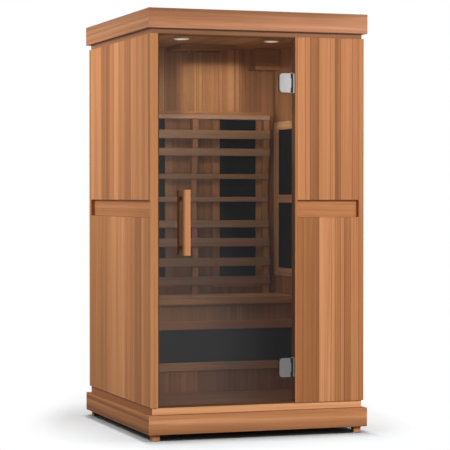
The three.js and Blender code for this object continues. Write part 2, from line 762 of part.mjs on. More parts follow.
function addCrownAndRoof(cabin) {
  const outerX = halfWidth + OVERHANG;
  const outerY = halfDepth + OVERHANG;
  const ledge = CROWN_BOARD + ROOF_LEDGE_REACH;
  const flange = OVERHANG + NECK_INSET + NECK_BOARD - 2 * FIT;
  const bottom = crownZ + FIT;
  const crownProfile = [
    [ARRIS, bottom],
    [0, bottom + ARRIS],
    [0, topZ - ARRIS],
    [ARRIS, topZ],
    [CROWN_BOARD, topZ],
    [CROWN_BOARD, roofZ],
    [ledge, roofZ],
    [ledge, roofZ - ROOF_LEDGE],
    [CROWN_BOARD, roofZ - ROOF_LEDGE],
    [CROWN_BOARD, bottom + CROWN_FLANGE],
    [flange, bottom + CROWN_FLANGE],
    [flange, bottom],
  ];
  cabin.add(piece("crown_frame", mitredFrame(crownProfile, outerX, outerY), cedar));

  const roofX = outerX - CROWN_BOARD - FIT;
  const roofY = outerY - CROWN_BOARD - FIT;
  const roofTop = roofZ + ROOF_THICKNESS;
  const glandX = roofX - GLAND_FROM_SIDE;
  const glandY = roofY - GLAND_FROM_BACK;
  const holeZ = [roofZ - CUT_PAST, roofTop + CUT_PAST];
  const glandHole = rod(GLAND_STEM / 2 + FIT, glandX, glandY, holeZ);
  const roof = block([-roofX, roofX], [-roofY, roofY], [roofZ + FIT, roofTop]);
  cabin.add(piece("roof_cover", build([roof], [ventHole(holeZ), glandHole]), cedarDark));

  const glandProfile = [
    [GLAND_BORE / 2, -ROOF_THICKNESS],
    [GLAND_STEM / 2, -ROOF_THICKNESS],
    [GLAND_STEM / 2, FIT],
    [GLAND_DIAMETER / 2, FIT],
    [GLAND_DIAMETER / 2, GLAND_FLANGE],
    [GLAND_NUT / 2, GLAND_FLANGE],
    [GLAND_NUT / 2, GLAND_HEIGHT],
    [GLAND_BORE / 2, GLAND_HEIGHT],
    [GLAND_BORE / 2, -ROOF_THICKNESS],
  ];
  const turned = new THREE.LatheGeometry(glandProfile.map(([r, z]) => new THREE.Vector2(r, z)), 24);
  const gland = piece("cable_gland", turned.rotateX(Math.PI / 2), blackPlastic);
  gland.position.set(glandX, glandY, roofTop);
  cabin.add(gland);

  const edges = [POWER_EDGE, POWER_EDGE, POWER_EDGE, POWER_EDGE];
  const powerPlan = roundedRectangle(
    [-POWER_WIDTH / 2, POWER_WIDTH / 2],
    [-POWER_DEPTH / 2, POWER_DEPTH / 2],
    edges,
  );
  const power = piece("power_box", alongZ(powerPlan, [0, POWER_HEIGHT]), blackPlastic);
  const powerX = roofX - POWER_FROM_SIDE - POWER_WIDTH / 2;
  power.position.set(powerX, ventCentreY, ceilingZ + CEILING_THICKNESS + FIT);
  cabin.add(power);
}

// A box in the right back corner under the ceiling, open below for its loudspeaker, on a wider base board.
function addSpeakerBox(cabin) {
  const right = roomX - FIT;
  const back = roomBack - FIT;
  const top = ceilingZ - FIT;
  const bottom = top - SPEAKER_HEIGHT;
  const left = right - SPEAKER_WIDTH;
  const front = back - SPEAKER_DEPTH;
  const box = block([left, right], [front, back], [bottom + SPEAKER_BASE / 2, top]);
  const baseZ = [bottom, bottom + SPEAKER_BASE];
  const base = block([left - SPEAKER_LIP, right], [front - SPEAKER_LIP, back], baseZ);
  const hole = rod(
    SPEAKER_HOLE / 2,
    (left + right) / 2,
    (front + back) / 2,
    [bottom - CUT_PAST, bottom + SPEAKER_HOLE_HEIGHT],
    28,
  );
  cabin.add(piece("speaker_box", build([box, base], [hole]), cedarDark));
}

function addControlPanel(cabin) {
  const half = [CONTROL_WIDTH / 2, CONTROL_HEIGHT / 2];
  const round = Array(4).fill(CONTROL_CORNER);
  const plate = roundedRectangle([-half[0], half[0]], [-half[1], half[1]], round);
  const screen = roundedRectangle(
    [CONTROL_RIM - half[0], half[0] - CONTROL_RIM],
    [CONTROL_RIM - half[1], half[1] - CONTROL_RIM],
    Array(4).fill(CONTROL_CORNER - CONTROL_RIM / 2),
  );
  const body = alongY(plate, [FIT, CONTROL_THICKNESS]);
  const dish = alongY(screen, [CONTROL_THICKNESS - CONTROL_DISH, CONTROL_THICKNESS + CUT_PAST]);
  const control = piece("control_panel", build([body], [dish]), blackPlastic);
  control.position.set((openingRight + roomX) / 2, roomFront, wallZ + CONTROL_RISE);
  cabin.add(control);
}

// A rectangle of glass with a notch for each hinge in its right edge and two holes for the handle studs.
function doorGlass(hinges, handle, axis) {
  const left = openingLeft + DOOR_GAP - axis.x;
  const right = openingRight - DOOR_GAP - axis.x;
  const low = wallZ + DOOR_GAP;
  const high = neckZ - DOOR_GAP;
  const notch = -PLATE_FROM_AXIS - DOOR_GAP / 2;
  const margin = HINGE_HEIGHT / 2 + PIN_HEAD + DOOR_GAP / 2;
  const pane = roundedRectangle([left, right], [low, high], Array(4).fill(GLASS_CORNER));
  const depth = [-GLASS_THICKNESS / 2, GLASS_THICKNESS / 2];
  const past = [depth[0] - CUT_PAST, depth[1] + CUT_PAST];
  const notches = hinges.map((z) => block([notch, right + CUT_PAST], past, [z - margin, z + margin]));
  const studHole = STUD_RADIUS + STUD_PLAY;
  const holes = handle.studs.map((z) =>
    new THREE.CylinderGeometry(studHole, studHole, past[1] - past[0], 20).translate(handle.x, 0, z),
  );
  return build([alongY(pane, depth)], [...notches, ...holes]);
}

// The clamp holds the glass between two plates, joined through the notch by a block that ends in a knuckle.
function hingeClamp() {
  const half = HINGE_HEIGHT / 2;
  const plateX = [-PLATE_FROM_AXIS - PLATE_WIDTH, -PLATE_FROM_AXIS];
  const plate = roundedRectangle(plateX, [-half, half], [PLATE_CORNER, 0, 0, PLATE_CORNER]);
  const near = GLASS_THICKNESS / 2 + FIT;
  const far = near + PLATE_THICKNESS;
  const middle = half * KNUCKLE_SHARE - FIT;
  const bridge = block([-PLATE_FROM_AXIS - CUT_PAST, 0], [-KNUCKLE_WEB, KNUCKLE_WEB], [-middle, middle]);
  const knuckle = rod(KNUCKLE_RADIUS, 0, 0, [-middle, middle]);
  const bore = rod(PIN_RADIUS + FIT, 0, 0, [-half, half]);
  return build([alongY(plate, [-far, -near]), alongY(plate, [near, far]), bridge, knuckle], [bore]);
}

// The leaf is screwed to the end of the front wall panel, with a knuckle above and below the clamp's.
function hingeLeaf() {
  const half = HINGE_HEIGHT / 2;
  const middle = half * KNUCKLE_SHARE + FIT;
  const wall = HINGE_AXIS_INSET - FIT;
  const front = LEAF_SETBACK - GLASS_SETBACK - GLASS_THICKNESS / 2;
  const plate = block([wall - LEAF_THICKNESS, wall], [front, front + LEAF_DEPTH], [-half, half]);
  const ends = [[-half, -middle], [middle, half]];
  const knuckles = ends.map((z) => rod(KNUCKLE_RADIUS, 0, 0, z));
  const webs = ends.map((z) => block([0, wall - LEAF_THICKNESS + CUT_PAST], [front, KNUCKLE_WEB], z));
  const bore = rod(PIN_RADIUS + FIT, 0, 0, [-half - CUT_PAST, half + CUT_PAST]);
  return build([plate, ...knuckles, ...webs], [bore]);
}

function hingePin() {
  const half = HINGE_HEIGHT / 2;
  const profile = [
    [0, -half],
    [PIN_RADIUS, -half],
    [PIN_RADIUS, half + FIT],
    [PIN_HEAD_RADIUS, half + FIT],
    [PIN_HEAD_RADIUS - PIN_HEAD / 2, half + PIN_HEAD],
    [0, half + PIN_HEAD],
  ];
  return new THREE.LatheGeometry(profile.map(([r, z]) => new THREE.Vector2(r, z)), 24).rotateX(Math.PI / 2);
}

// A wooden bar on two stand-offs. It lies outwards of the glass when side is -1 and inwards when it is 1.
function handleBar(side, handle) {
  const inner = side > 0;
  const thickness = inner ? INNER_BAR_THICKNESS : OUTER_BAR_THICKNESS;
  const face = GLASS_THICKNESS / 2 + FIT;
  const near = face + STANDOFF;
  const halfX = HANDLE_WIDTH / 2;
  const middle = (handle.studs[0] + handle.studs[1]) / 2;
  const rounds = Array(4).fill(inner ? INNER_BAR_ROUND : OUTER_BAR_ROUND);
  const section = roundedRectangle([-halfX, halfX], [0, thickness], rounds);
  const bar = alongZ(section, [middle - HANDLE_LENGTH / 2, middle + HANDLE_LENGTH / 2]);
  bar.translate(handle.x, inner ? near : -near - thickness, 0);
  const across = (radius, from, to, z) => {
    const bolt = new THREE.CylinderGeometry(radius, radius, to - from, 20);
    return bolt.translate(handle.x, (side * (from + to)) / 2, z);
  };
  const standoffs = handle.studs.map((z) => across(STANDOFF_RADIUS, face, near + CUT_PAST, z));
  const studEnd = GLASS_THICKNESS / 2 + FIT + STUD_REACH;
  const studs = handle.studs.map((z) => across(STUD_RADIUS, -studEnd, face + CUT_PAST, z));
  const sockets = handle.studs.map((z) => across(STUD_RADIUS + FIT, face - CUT_PAST, studEnd + FIT, z));
  return inner ? build([bar, ...standoffs], sockets) : build([bar, ...standoffs, ...studs]);
}

function addDoor(cabin) {
  const axis = { x: openingRight - HINGE_AXIS_INSET, y: glassFront + GLASS_THICKNESS / 2 };
  const hinges = { upper: neckZ - HINGE_UPPER_DROP, lower: wallZ + HINGE_LOWER_RISE };
  const handleZ = wallZ + HANDLE_RISE;
  const handle = {
    x: openingLeft + DOOR_GAP + HANDLE_FROM_EDGE - axis.x,
    studs: [handleZ - STANDOFF_SPACING / 2, handleZ + STANDOFF_SPACING / 2],
  };

  const door = new THREE.Group();
  door.position.set(axis.x, axis.y, 0);
  door.add(piece("door_glass", doorGlass(Object.values(hinges), handle, axis), bronzeGlass));
  door.add(piece("handle_outer", handleBar(-1, handle), cedarLight));
  door.add(piece("handle_inner", handleBar(1, handle), cedarLight));
  for (const [level, z] of Object.entries(hinges)) {
    const members = { clamp: hingeClamp(), leaf: hingeLeaf(), pin: hingePin() };
    for (const [member, geometry] of Object.entries(members)) {
      const metal = piece(`hinge_${member}_${level}`, geometry, steel);
      metal.position.z = z;
      door.add(metal);
    }
  }
  cabin.add(door);
}

const cabin = new THREE.Group();
addPlinthAndFloor(cabin);
addWalls(cabin);
addLiningsAndHeaters(cabin);
addBench(cabin);
addBackrest(cabin);
addCeilingAndLights(cabin);
addVent(cabin);
addCrownAndRoof(cabin);
addSpeakerBox(cabin);
addControlPanel(cabin);
addDoor(cabin);

// The handle stands further out than the crown, so the origin moves to the middle of the whole depth.
cabin.position.y = (handleReach - OVERHANG) / 2;

export default cabin;
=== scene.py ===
import math
import random

import bmesh
import bpy
from mathutils import Matrix, Vector


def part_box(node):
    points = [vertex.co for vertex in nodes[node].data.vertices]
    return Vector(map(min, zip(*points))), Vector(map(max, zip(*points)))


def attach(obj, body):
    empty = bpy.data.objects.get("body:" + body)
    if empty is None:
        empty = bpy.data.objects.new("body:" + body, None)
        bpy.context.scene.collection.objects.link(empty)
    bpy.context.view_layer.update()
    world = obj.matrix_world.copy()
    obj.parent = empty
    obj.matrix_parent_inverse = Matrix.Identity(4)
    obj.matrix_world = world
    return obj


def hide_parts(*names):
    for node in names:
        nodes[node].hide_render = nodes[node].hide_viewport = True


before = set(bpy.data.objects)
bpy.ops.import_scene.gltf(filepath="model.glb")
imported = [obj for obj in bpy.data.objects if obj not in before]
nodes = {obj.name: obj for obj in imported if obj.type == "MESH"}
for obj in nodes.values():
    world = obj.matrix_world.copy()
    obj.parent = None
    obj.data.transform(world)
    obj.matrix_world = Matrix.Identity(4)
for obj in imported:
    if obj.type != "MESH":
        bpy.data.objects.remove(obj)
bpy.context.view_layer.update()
scene = bpy.context.scene
scene.view_settings.view_transform = "Standard"


# Camera: a long lens at chest height, to the front left of the cabin, so uprights stay upright.
# The picture is square, and the lens is worked out for a 36 mm wide sensor.
TILTED_DOWN, TURNED_RIGHT = 0.909, 19.012
camera = bpy.data.objects.new("camera", bpy.data.cameras.new("camera"))
camera.data.sensor_width = 36
camera.data.lens = 149.34
camera.data.clip_end = 200
camera.location = (-2.93473, -8.55143, 1.10776)
camera.rotation_euler = (math.radians(90 - TILTED_DOWN), 0, math.radians(-TURNED_RIGHT))
scene.collection.objects.link(camera)
scene.camera = camera


# Studio: a white room with a pale floor that keeps the cabin's shadow near it and fades to white.
# Soft boxes at the front right, at the sides and behind light the cabin alone, and those whose names
# end in "above" light the floor alone. The room itself gives an even light.
WHITE = (1, 1, 1, 1)


def add_node(tree, kind, inputs=None, **settings):
    """One shader node with its settings, and a value or a link for each input that is named."""
    made = tree.nodes.new("ShaderNode" + kind)
    for key, value in settings.items():
        setattr(made, key, value)
    for socket, value in (inputs or {}).items():
        if isinstance(value, bpy.types.NodeSocket):
            tree.links.new(value, made.inputs[socket])
        else:
            made.inputs[socket].default_value = value
    return made


def worked_out(tree, operation, *values, **settings):
    """The result of one sum on up to three numbers."""
    return add_node(tree, "Math", dict(enumerate(values)), operation=operation, **settings).outputs[0]


def spread(tree, value, low, high, to_low=0, to_high=1, kind="LINEAR"):
    """A value moved from one range to another."""
    inputs = {"Value": value, "From Min": low, "From Max": high, "To Min": to_low, "To Max": to_high}
    return add_node(tree, "MapRange", inputs, interpolation_type=kind).outputs[0]


def blend(tree, share, first, second):
    """Two shaders mixed, with a share of the second."""
    return add_node(tree, "MixShader", {0: share, 1: first, 2: second}).outputs[0]


def object_place(tree):
    """Where a point lies, in the frame that all pieces share."""
    return add_node(tree, "TexCoord").outputs["Object"]


def empty_tree(owner):
    """The owner's node tree, emptied."""
    owner.use_nodes = True
    owner.node_tree.nodes.clear()
    return owner.node_tree


def new_finish(name):
    """A new material and its empty node tree."""
    material = bpy.data.materials.new(name)
    return material, empty_tree(material)


def seen_by(tree, *kinds):
    """1 for rays of the named kinds and 0 for all others."""
    path = add_node(tree, "LightPath").outputs
    found = path[f"Is {kinds[0]} Ray"]
    for kind in kinds[1:]:
        found = worked_out(tree, "MAXIMUM", found, path[f"Is {kind} Ray"])
    return found


def put_in_scene(mesh, name, material):
    """Puts a mesh in the scene, as an object of one material."""
    data = bpy.data.meshes.new(name)
    mesh.to_mesh(data)
    mesh.free()
    data.materials.append(material)
    made = bpy.data.objects.new(name, data)
    scene.collection.objects.link(made)
    return made


def add_lamp(name, kind, power, colour, at):
    """A lamp at a place, which no mirror shows."""
    lamp = bpy.data.lights.new(name, kind)
    lamp.energy = power
    lamp.color = colour
    hung = bpy.data.objects.new(name, lamp)
    hung.location = at
    hung.visible_glossy = False
    scene.collection.objects.link(hung)
    return hung


def add_soft_box(name, power, colour, at, size):
    """A rectangular lamp that gives soft light and isn't seen itself."""
    hung = add_lamp(name, "AREA", power, colour, at)
    hung.visible_camera = False
    hung.data.shape = "RECTANGLE"
    hung.data.size, hung.data.size_y = size
    return hung


def aim(lamp, towards):
    """Turns a lamp to shine at a place."""
    lamp.rotation_euler = (Vector(towards) - lamp.location).to_track_quat("-Z", "Y").to_euler()


room = bpy.data.worlds.new("white_room")
scene.world = room
tree = empty_tree(room)
even_light, dim_wall, white_wall = (
    add_node(tree, "Background", {"Color": WHITE, "Strength": strength}).outputs[0]
    for strength in (0.32, 0.45, 1)
)
mirrored = blend(tree, seen_by(tree, "Glossy"), even_light, dim_wall)
shown = blend(tree, seen_by(tree, "Camera", "Transmission"), mirrored, white_wall)
add_node(tree, "OutputWorld", {"Surface": shown})

pale_floor, tree = new_finish("pale_floor")
direct = seen_by(tree, "Camera", "Transmission")
thrown_back, seen_tone = (0.2, 0.2, 0.2, 1), (0.523, 0.54, 0.551, 1)
near_tone = add_node(tree, "Mix", {0: direct, 6: thrown_back, 7: seen_tone}, data_type="RGBA").outputs[2]
paint = add_node(tree, "BsdfDiffuse", {"Color": near_tone}).outputs[0]
white = add_node(tree, "Emission", {"Color": WHITE, "Strength": 1}).outputs[0]
turned = add_node(
    tree,
    "Mapping",
    {"Vector": object_place(tree), "Location": (0, -0.2, 0), "Rotation": (0, 0, math.radians(19))},
).outputs[0]
drawn_out = add_node(tree, "VectorMath", {0: turned, 1: (1.05, 0.42, 0)}, operation="MULTIPLY").outputs[0]
distance = add_node(tree, "VectorMath", {0: drawn_out}, operation="LENGTH").outputs["Value"]
fade = spread(tree, distance, 0.8, 1.04, kind="SMOOTHSTEP")
shown = blend(tree, worked_out(tree, "MULTIPLY", fade, direct), paint, white)
add_node(tree, "OutputMaterial", {"Surface": shown})
mesh = bmesh.new()
bmesh.ops.create_circle(mesh, cap_ends=True, segments=64, radius=40)
floor = put_in_scene(mesh, "floor", pale_floor)

SOFT_BOXES = {
    "front_right": {"at": (2.3, -5.6, 3.3), "size": (1.6, 1.6), "power": 292},
    "left": {"at": (-2.6, 0.8, 2.2), "size": (1.6, 1.4), "power": 62, "colour": (0.94, 1, 1.06)},
    "right": {"at": (5.2, 2.0, 3.6), "size": (3.0, 2.4), "power": 200},
    "behind": {"at": (-0.5, 6.0, 3.6), "size": (3.0, 2.4), "power": 240},
    "high_above": {"at": (0.2, 1.75, 60.0), "size": (0.4, 4.9), "power": 22500},
    "left_above": {"at": (-2.0, -0.9, 2.1), "size": (1.2, 1.6), "power": 42},
    "right_above": {"at": (2.0, -0.5, 2.1), "size": (1.2, 1.6), "power": 42},
    "above": {"at": (0.0, 0.0, 6.0), "size": (1.3, 1.3), "power": 215},
}
cabin_middle = (0, 0, 0.95)
for_cabin = bpy.data.collections.new("lit_from_the_sides")
for_cabin.objects.link(floor)
for_cabin.collection_objects[0].light_linking.link_state = "EXCLUDE"
for_floor = bpy.data.collections.new("lit_from_above")
for_floor.objects.link(floor)
for name, box in SOFT_BOXES.items():
    colour = box.get("colour", (1, 1, 1))
    lamp = add_soft_box("soft_box_" + name, box["power"], colour, box["at"], box["size"])
    if name.endswith("above"):
        lamp.light_linking.receiver_collection = for_floor
    else:
        aim(lamp, cabin_middle)
        lamp.light_linking.receiver_collection = for_cabin


# White card: a board in front of the cabin that only mirrors show, for the sheen on the door's glass.
# It glows at its lower left and fades to the right and upwards, with a second patch at its upper right.
def object_axes(tree):
    """Where a point lies, as its X, Y and Z."""
    return add_node(tree, "SeparateXYZ", {0: object_place(tree)}).outputs


def turn(mesh, verts, angle, axis):
    """Turns points about an axis through the origin."""
    bmesh.ops.rotate(mesh, verts=verts, cent=(0, 0, 0), matrix=Matrix.Rotation(angle, 3, axis))


card_paint, tree = new_finish("card_paint")
axes = object_axes(tree)
low_down = spread(tree, axes["Z"], 0.4, 1.1, 1, 0)
slanted = worked_out(tree, "MULTIPLY_ADD", low_down, -0.25, axes["X"])
sideways = spread(tree, slanted, -0.16, 0.12, 1, 0.42)
stronger_below = worked_out(tree, "MULTIPLY_ADD", low_down, 0.15, 0.5)
fading = spread(tree, axes["Z"], 1.6, 1.85, 1, 0.45)
glow = worked_out(tree, "MULTIPLY", worked_out(tree, "MULTIPLY", sideways, stronger_below), fading)
far_right = spread(tree, axes["X"], 0.45, 0.6, kind="SMOOTHSTEP")
high_up = spread(tree, axes["Z"], 1.0, 1.5, kind="SMOOTHSTEP")
patch = worked_out(tree, "MULTIPLY", far_right, high_up)
patch_glow = worked_out(tree, "MULTIPLY_ADD", patch, 2.4, 0.02)
strength = worked_out(tree, "ADD", glow, patch_glow)
card_glow = add_node(tree, "Emission", {"Color": WHITE, "Strength": strength}).outputs[0]
add_node(tree, "OutputMaterial", {"Surface": card_glow})
mesh = bmesh.new()
bmesh.ops.create_grid(mesh, x_segments=1, y_segments=1, size=1.2)
turn(mesh, mesh.verts, math.pi / 2, "X")
bmesh.ops.translate(mesh, verts=mesh.verts, vec=(0.3, -1.3, 1.22))
card = put_in_scene(mesh, "white_card", card_paint)
for ray in ("camera", "diffuse", "transmission", "shadow", "volume_scatter"):
    setattr(card, "visible_" + ray, False)


# Plinth: four red cedar boards on edge, mitred at the corners, with a shelf inside that carries the floor.
# The wood is planed and oiled. Every cedar piece carries its own grain direction and board tone.
SIDEWAYS, INWARDS, UPRIGHT = 0, 1, 2
FACING = 0.9  # a face whose normal reaches this far along an axis looks that way
HUE_STEP = 17.3  # scatters the hues of boards whose tones lie close together
CEDAR_COLOURS = (
    (0.0, "#8A5731"), (0.2, "#9C653C"), (0.42, "#AF7346"),
    (0.6, "#BE7F52"), (0.8, "#CB8C5A"), (1.0, "#DBA272"),
)


def linear(hexa):
    """A colour written as on screen, in the numbers that the shaders work with."""
    channels = [int(hexa[i : i + 2], 16) / 255 for i in (1, 3, 5)]
    straight = [c / 12.92 if c <= 0.04045 else ((c + 0.055) / 1.055) ** 2.4 for c in channels]
    return (*straight, 1)


def colour_ramp(tree, factor, *stops):
    """The colour at a factor along a row of (place, colour) stops."""
    ramp = add_node(tree, "ValToRGB", {"Fac": factor})
    elements = ramp.color_ramp.elements
    while len(elements) < len(stops):
        elements.new(0.5)
    for element, (at, colour) in zip(elements, stops):
        element.position = at
        element.color = linear(colour) if isinstance(colour, str) else colour
    return ramp.outputs["Color"]


def dimmed(tree, colour, share):
    """A colour multiplied by a number."""
    return add_node(tree, "VectorMath", {0: colour, "Scale": share}, operation="SCALE").outputs[0]


def relief(tree, height, strength, depth):
    """A fine relief that follows a pattern."""
    return add_node(tree, "Bump", {"Height": height, "Strength": strength, "Distance": depth}).outputs[0]


def noise(tree, place, scale, detail, roughness=0.5):
    """An uneven pattern, from 0 to 1."""
    inputs = {"Vector": place, "Scale": scale, "Detail": detail, "Roughness": roughness}
    return add_node(tree, "TexNoise", inputs).outputs["Fac"]


def stretched(tree, place, scale):
    """A place with its own scale along each axis."""
    return add_node(tree, "Mapping", {"Vector": place, "Scale": scale}).outputs[0]


def grain_noise(tree, grain, scale, detail=2):
    """Noise drawn out along the grain, with its own scale along, across and through the board."""
    return noise(tree, stretched(tree, grain, scale), 1, detail, 0.55)


def coat(tree, inputs):
    """Ends a finish with one surface that has these inputs."""
    surface = add_node(tree, "BsdfPrincipled", inputs)
    add_node(tree, "OutputMaterial", {"Surface": surface.outputs[0]})


def cedar_material(name, streak, darkened=None, colours=CEDAR_COLOURS, streaks_per_metre=46):
    """Oiled cedar: each board has a tone and a hue, growth streaks, dark lines, fibres and a soft gloss."""
    material, tree = new_finish(name)
    grain = add_node(tree, "Attribute", attribute_name="grain_place").outputs["Vector"]
    tone = add_node(tree, "Attribute", attribute_name="board_tone").outputs["Fac"]

    sway = grain_noise(tree, grain, (0.7, 5, 5))
    aside = add_node(tree, "CombineXYZ", {"Y": sway, "Z": sway}).outputs[0]
    bent = add_node(
        tree, "VectorMath", {0: aside, 1: (0, 0.02, 0.02), 2: grain}, operation="MULTIPLY_ADD"
    ).outputs[0]
    growth = grain_noise(tree, bent, (0.35, streaks_per_metre, 18), 3)
    lines = grain_noise(tree, bent, (1.1, 210, 90))
    fibre = grain_noise(tree, bent, (6, 620, 300), 3)

    swing = spread(tree, growth, 0.28, 0.72, -streak / 2, streak / 2)
    base = colour_ramp(tree, worked_out(tree, "ADD", tone, swing), *colours)
    board_hue = worked_out(tree, "FRACT", worked_out(tree, "MULTIPLY", tone, HUE_STEP))
    hue = worked_out(tree, "MULTIPLY_ADD", growth, 0.9, board_hue)
    yellower, redder = (0.96, 1.0, 0.88, 1), (1.0, 0.95, 1.0, 1)
    cast = colour_ramp(tree, spread(tree, hue, 0.2, 1.2), (0, yellower), (1, redder))
    tinted = add_node(tree, "VectorMath", {0: base, 1: cast}, operation="MULTIPLY").outputs[0]
    line_depth = spread(tree, lines, 0.5, 0.72, 1.03, 0.84)
    fibre_depth = spread(tree, fibre, 0.3, 0.7, 0.93, 1.05)
    depth = worked_out(tree, "MULTIPLY", line_depth, fibre_depth)
    # Where asked, the colour grows darker over a band of heights: painted shade at the plinth's foot, a
    # painted shadow line along the floor's pale edge, and a darker top edge on the crown.
    if darkened:
        darker_paint = spread(tree, object_axes(tree)["Z"], *darkened, 1.0)
        depth = worked_out(tree, "MULTIPLY", depth, darker_paint)

    coat(
        tree,
        {
            "Base Color": dimmed(tree, tinted, depth),
            "Roughness": spread(tree, fibre, 0.3, 0.7, 0.66, 0.52),
            "Normal": relief(tree, fibre, 0.25, 0.0006),
            "Specular IOR Level": 0.25,
        },
    )
    return material


cedar = cedar_material("oiled_cedar", 0.34)
# The plinth's cedar darkens towards its foot, as painted shade near the floor.
plinth_cedar = cedar_material("plinth_cedar", 0.75, (0.03, 0.085, 0.66), streaks_per_metre=62)


def new_wood():
    """An empty mesh with room for the grain's place and the board's tone."""
    mesh = bmesh.new()
    mesh.loops.layers.float_vector.new("grain_place")
    mesh.faces.layers.float.new("board_tone")
    return mesh


def mark_board(mesh, along, draw, tones, faces=None):
    """Gives the faces that have no tone yet one board's tone, and a grain that runs along an axis."""
    place = mesh.loops.layers.float_vector["grain_place"]
    tone = mesh.faces.layers.float["board_tone"]
    shift = Vector([draw.uniform(1, 30) for _ in range(3)])
    chosen = draw.uniform(*tones)
    for face in faces or mesh.faces:
        if face[tone] > 0:
            continue
        face[tone] = chosen
        for loop in face.loops:
            at = loop.vert.co
            loop[place] = Vector((at[along], at[(along + 1) % 3], at[(along + 2) % 3])) + shift


def retone(mesh, faces, chosen):
    """Gives some faces a tone of their own."""
    tone = mesh.faces.layers.float["board_tone"]
    for face in faces:
        face[tone] = chosen


def copy_node(mesh, node):
    """Adds a merged copy of a CAD node to a mesh, and returns its faces."""
    before = set(mesh.faces)
    mesh.from_mesh(nodes[node].data)
    bmesh.ops.remove_doubles(mesh, verts=mesh.verts, dist=1e-6)
    return [face for face in mesh.faces if face not in before]


def finish_piece(mesh, name, material, body, slot, *replaced):
    """Makes a finished piece of a mesh: it rides on a body, and stands for CAD nodes."""
    piece = put_in_scene(mesh, name, material)
    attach(piece, body)
    if replaced:
        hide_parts(*replaced)
    return piece


def mitred_ring(node, name, slot, tones, material, shaded_top_tone=None):
    """A ring of four mitred boards, each with its grain along its own length."""
    low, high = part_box(node)
    mesh = new_wood()
    sides = {}
    for face in copy_node(mesh, node):
        at = face.calc_center_median()
        gaps = {
            "left": at.x - low.x,
            "right": high.x - at.x,
            "front": at.y - low.y,
            "back": high.y - at.y,
        }
        sides.setdefault(min(gaps, key=gaps.get), []).append(face)
    for side, members in sorted(sides.items()):
        along = INWARDS if side in ("left", "right") else SIDEWAYS
        mark_board(mesh, along, random.Random(name + side), tones[side], members)
    # Faces that look up may get a tone of their own, as painted shade.
    if shaded_top_tone:
        retone(mesh, [face for face in mesh.faces if face.normal.z > FACING], shaded_top_tone)
    finish_piece(mesh, name, material, "cabin", slot, node)


# The left board has a dark tone, as painted shade on the side turned from the light.
plinth_tones = {"front": (0.722, 0.727), "left": (0.19, 0.21), "right": (0.5, 0.6), "back": (0.5, 0.6)}
# The plinth's top face is near black, as a painted shadow line under the floor's edge.
mitred_ring("plinth_frame", "plinth_boards", "cedar", plinth_tones, plinth_cedar, 0.05)


# Feet: square cedar blocks in the plinth's corners, screwed up into its shelf, standing on the ground.
# Their lower ends show below the plinth, with the grain upright.
mesh = new_wood()
feet = ["foot_" + end + "_" + side for end in ("front", "back") for side in ("left", "right")]
for foot in feet:
    # Front feet are given a pale tone and back feet a dark one, as painted light and painted shade.
    tones = (0.74, 0.8) if "front" in foot else (0.1, 0.2)
    mark_board(mesh, UPRIGHT, random.Random(foot), tones, copy_node(mesh, foot))
finish_piece(mesh, "feet_blocks", cedar, "cabin", "cedar_dark", *feet)


# Floor: tongued cedar boards laid from side to side on the plinth's shelf.
# Their front edge shows below the door as a pale strip.
def lay_boards(mesh, name, along, across, start, end, width, tones):
    """Cuts a panel's faces into boards that lie side by side, and gives each board its own tone."""
    count = max(1, round((end - start) / width))
    pitch = (end - start) / count
    cut_normal = Vector((across == SIDEWAYS, across == INWARDS, across == UPRIGHT))
    for index in range(1, count):
        geometry = list(mesh.verts) + list(mesh.edges) + list(mesh.faces)
        joint = cut_normal * (start + pitch * index)
        bmesh.ops.bisect_plane(mesh, geom=geometry, dist=1e-7, plane_co=joint, plane_no=cut_normal)
    boards = {}
    for face in mesh.faces:
        reach = face.calc_center_median()[across] - start
        boards.setdefault(min(count - 1, max(0, int(reach / pitch))), []).append(face)
    for index, members in sorted(boards.items()):
        mark_board(mesh, along, random.Random(f"{name} {index}"), tones, members)


low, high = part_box("floor_panel")
mesh = new_wood()
copy_node(mesh, "floor_panel")
# The left rim has a dark tone, as painted shade on that side.
rims = {
    "front": (INWARDS, -1, (0.5, 0.52)),
    "back": (INWARDS, 1, (0.5, 0.6)),
    "left": (SIDEWAYS, -1, (0.1, 0.12)),
    "right": (SIDEWAYS, 1, (0.5, 0.6)),
}
for side, (axis, sign, tones) in rims.items():
    members = [face for face in mesh.faces if face.normal[axis] * sign > FACING]
    mark_board(mesh, 1 - axis, random.Random("floor rim " + side), tones, members)
lay_boards(mesh, "floor", SIDEWAYS, INWARDS, low.y, high.y, 0.09, (0.2, 0.35))
for face in mesh.faces:
    face.material_index = face.normal.y < -FACING
floor_boards = finish_piece(mesh, "floor_boards", cedar, "cabin", "cedar_light", "floor_panel")
# The front edge takes a cedar of its own, paler than the rest: partly the board's own pale tone, partly
# painted highlight. Its lowest few millimetres darken, as a painted shadow line above the plinth.
SILL_COLOURS = ((0.0, "#CC8C58"), (1.0, "#F6BE86"))
sill_cedar = cedar_material("sill_cedar", 0.8, (0.1165, 0.1195, 0.55), SILL_COLOURS, 150)
floor_boards.data.materials.append(sill_cedar)


# Walls: upright cedar boards of mixed widths between narrow stiles, glued edge to edge into panels.
# A horizontal band is let in at half height, and the boards above and below it are cut separately.
# The boards of the left and front walls are chosen, each by where it stops along the wall and its tone.
FIT = 0.0003  # play between boards that are let into each other
SLIMMEST_STILE = 0.002


def add_block(mesh, low, high):
    """Adds a plain block between two corners, and returns its points."""
    made = bmesh.ops.create_cube(mesh, size=1)["verts"]
    bmesh.ops.scale(mesh, vec=Vector(high) - Vector(low), verts=made)
    bmesh.ops.translate(mesh, vec=(Vector(low) + Vector(high)) / 2, verts=made)
    return made


def edges_of(verts):
    """The edges that meet at some points."""
    return list({edge for vert in verts for edge in vert.link_edges})


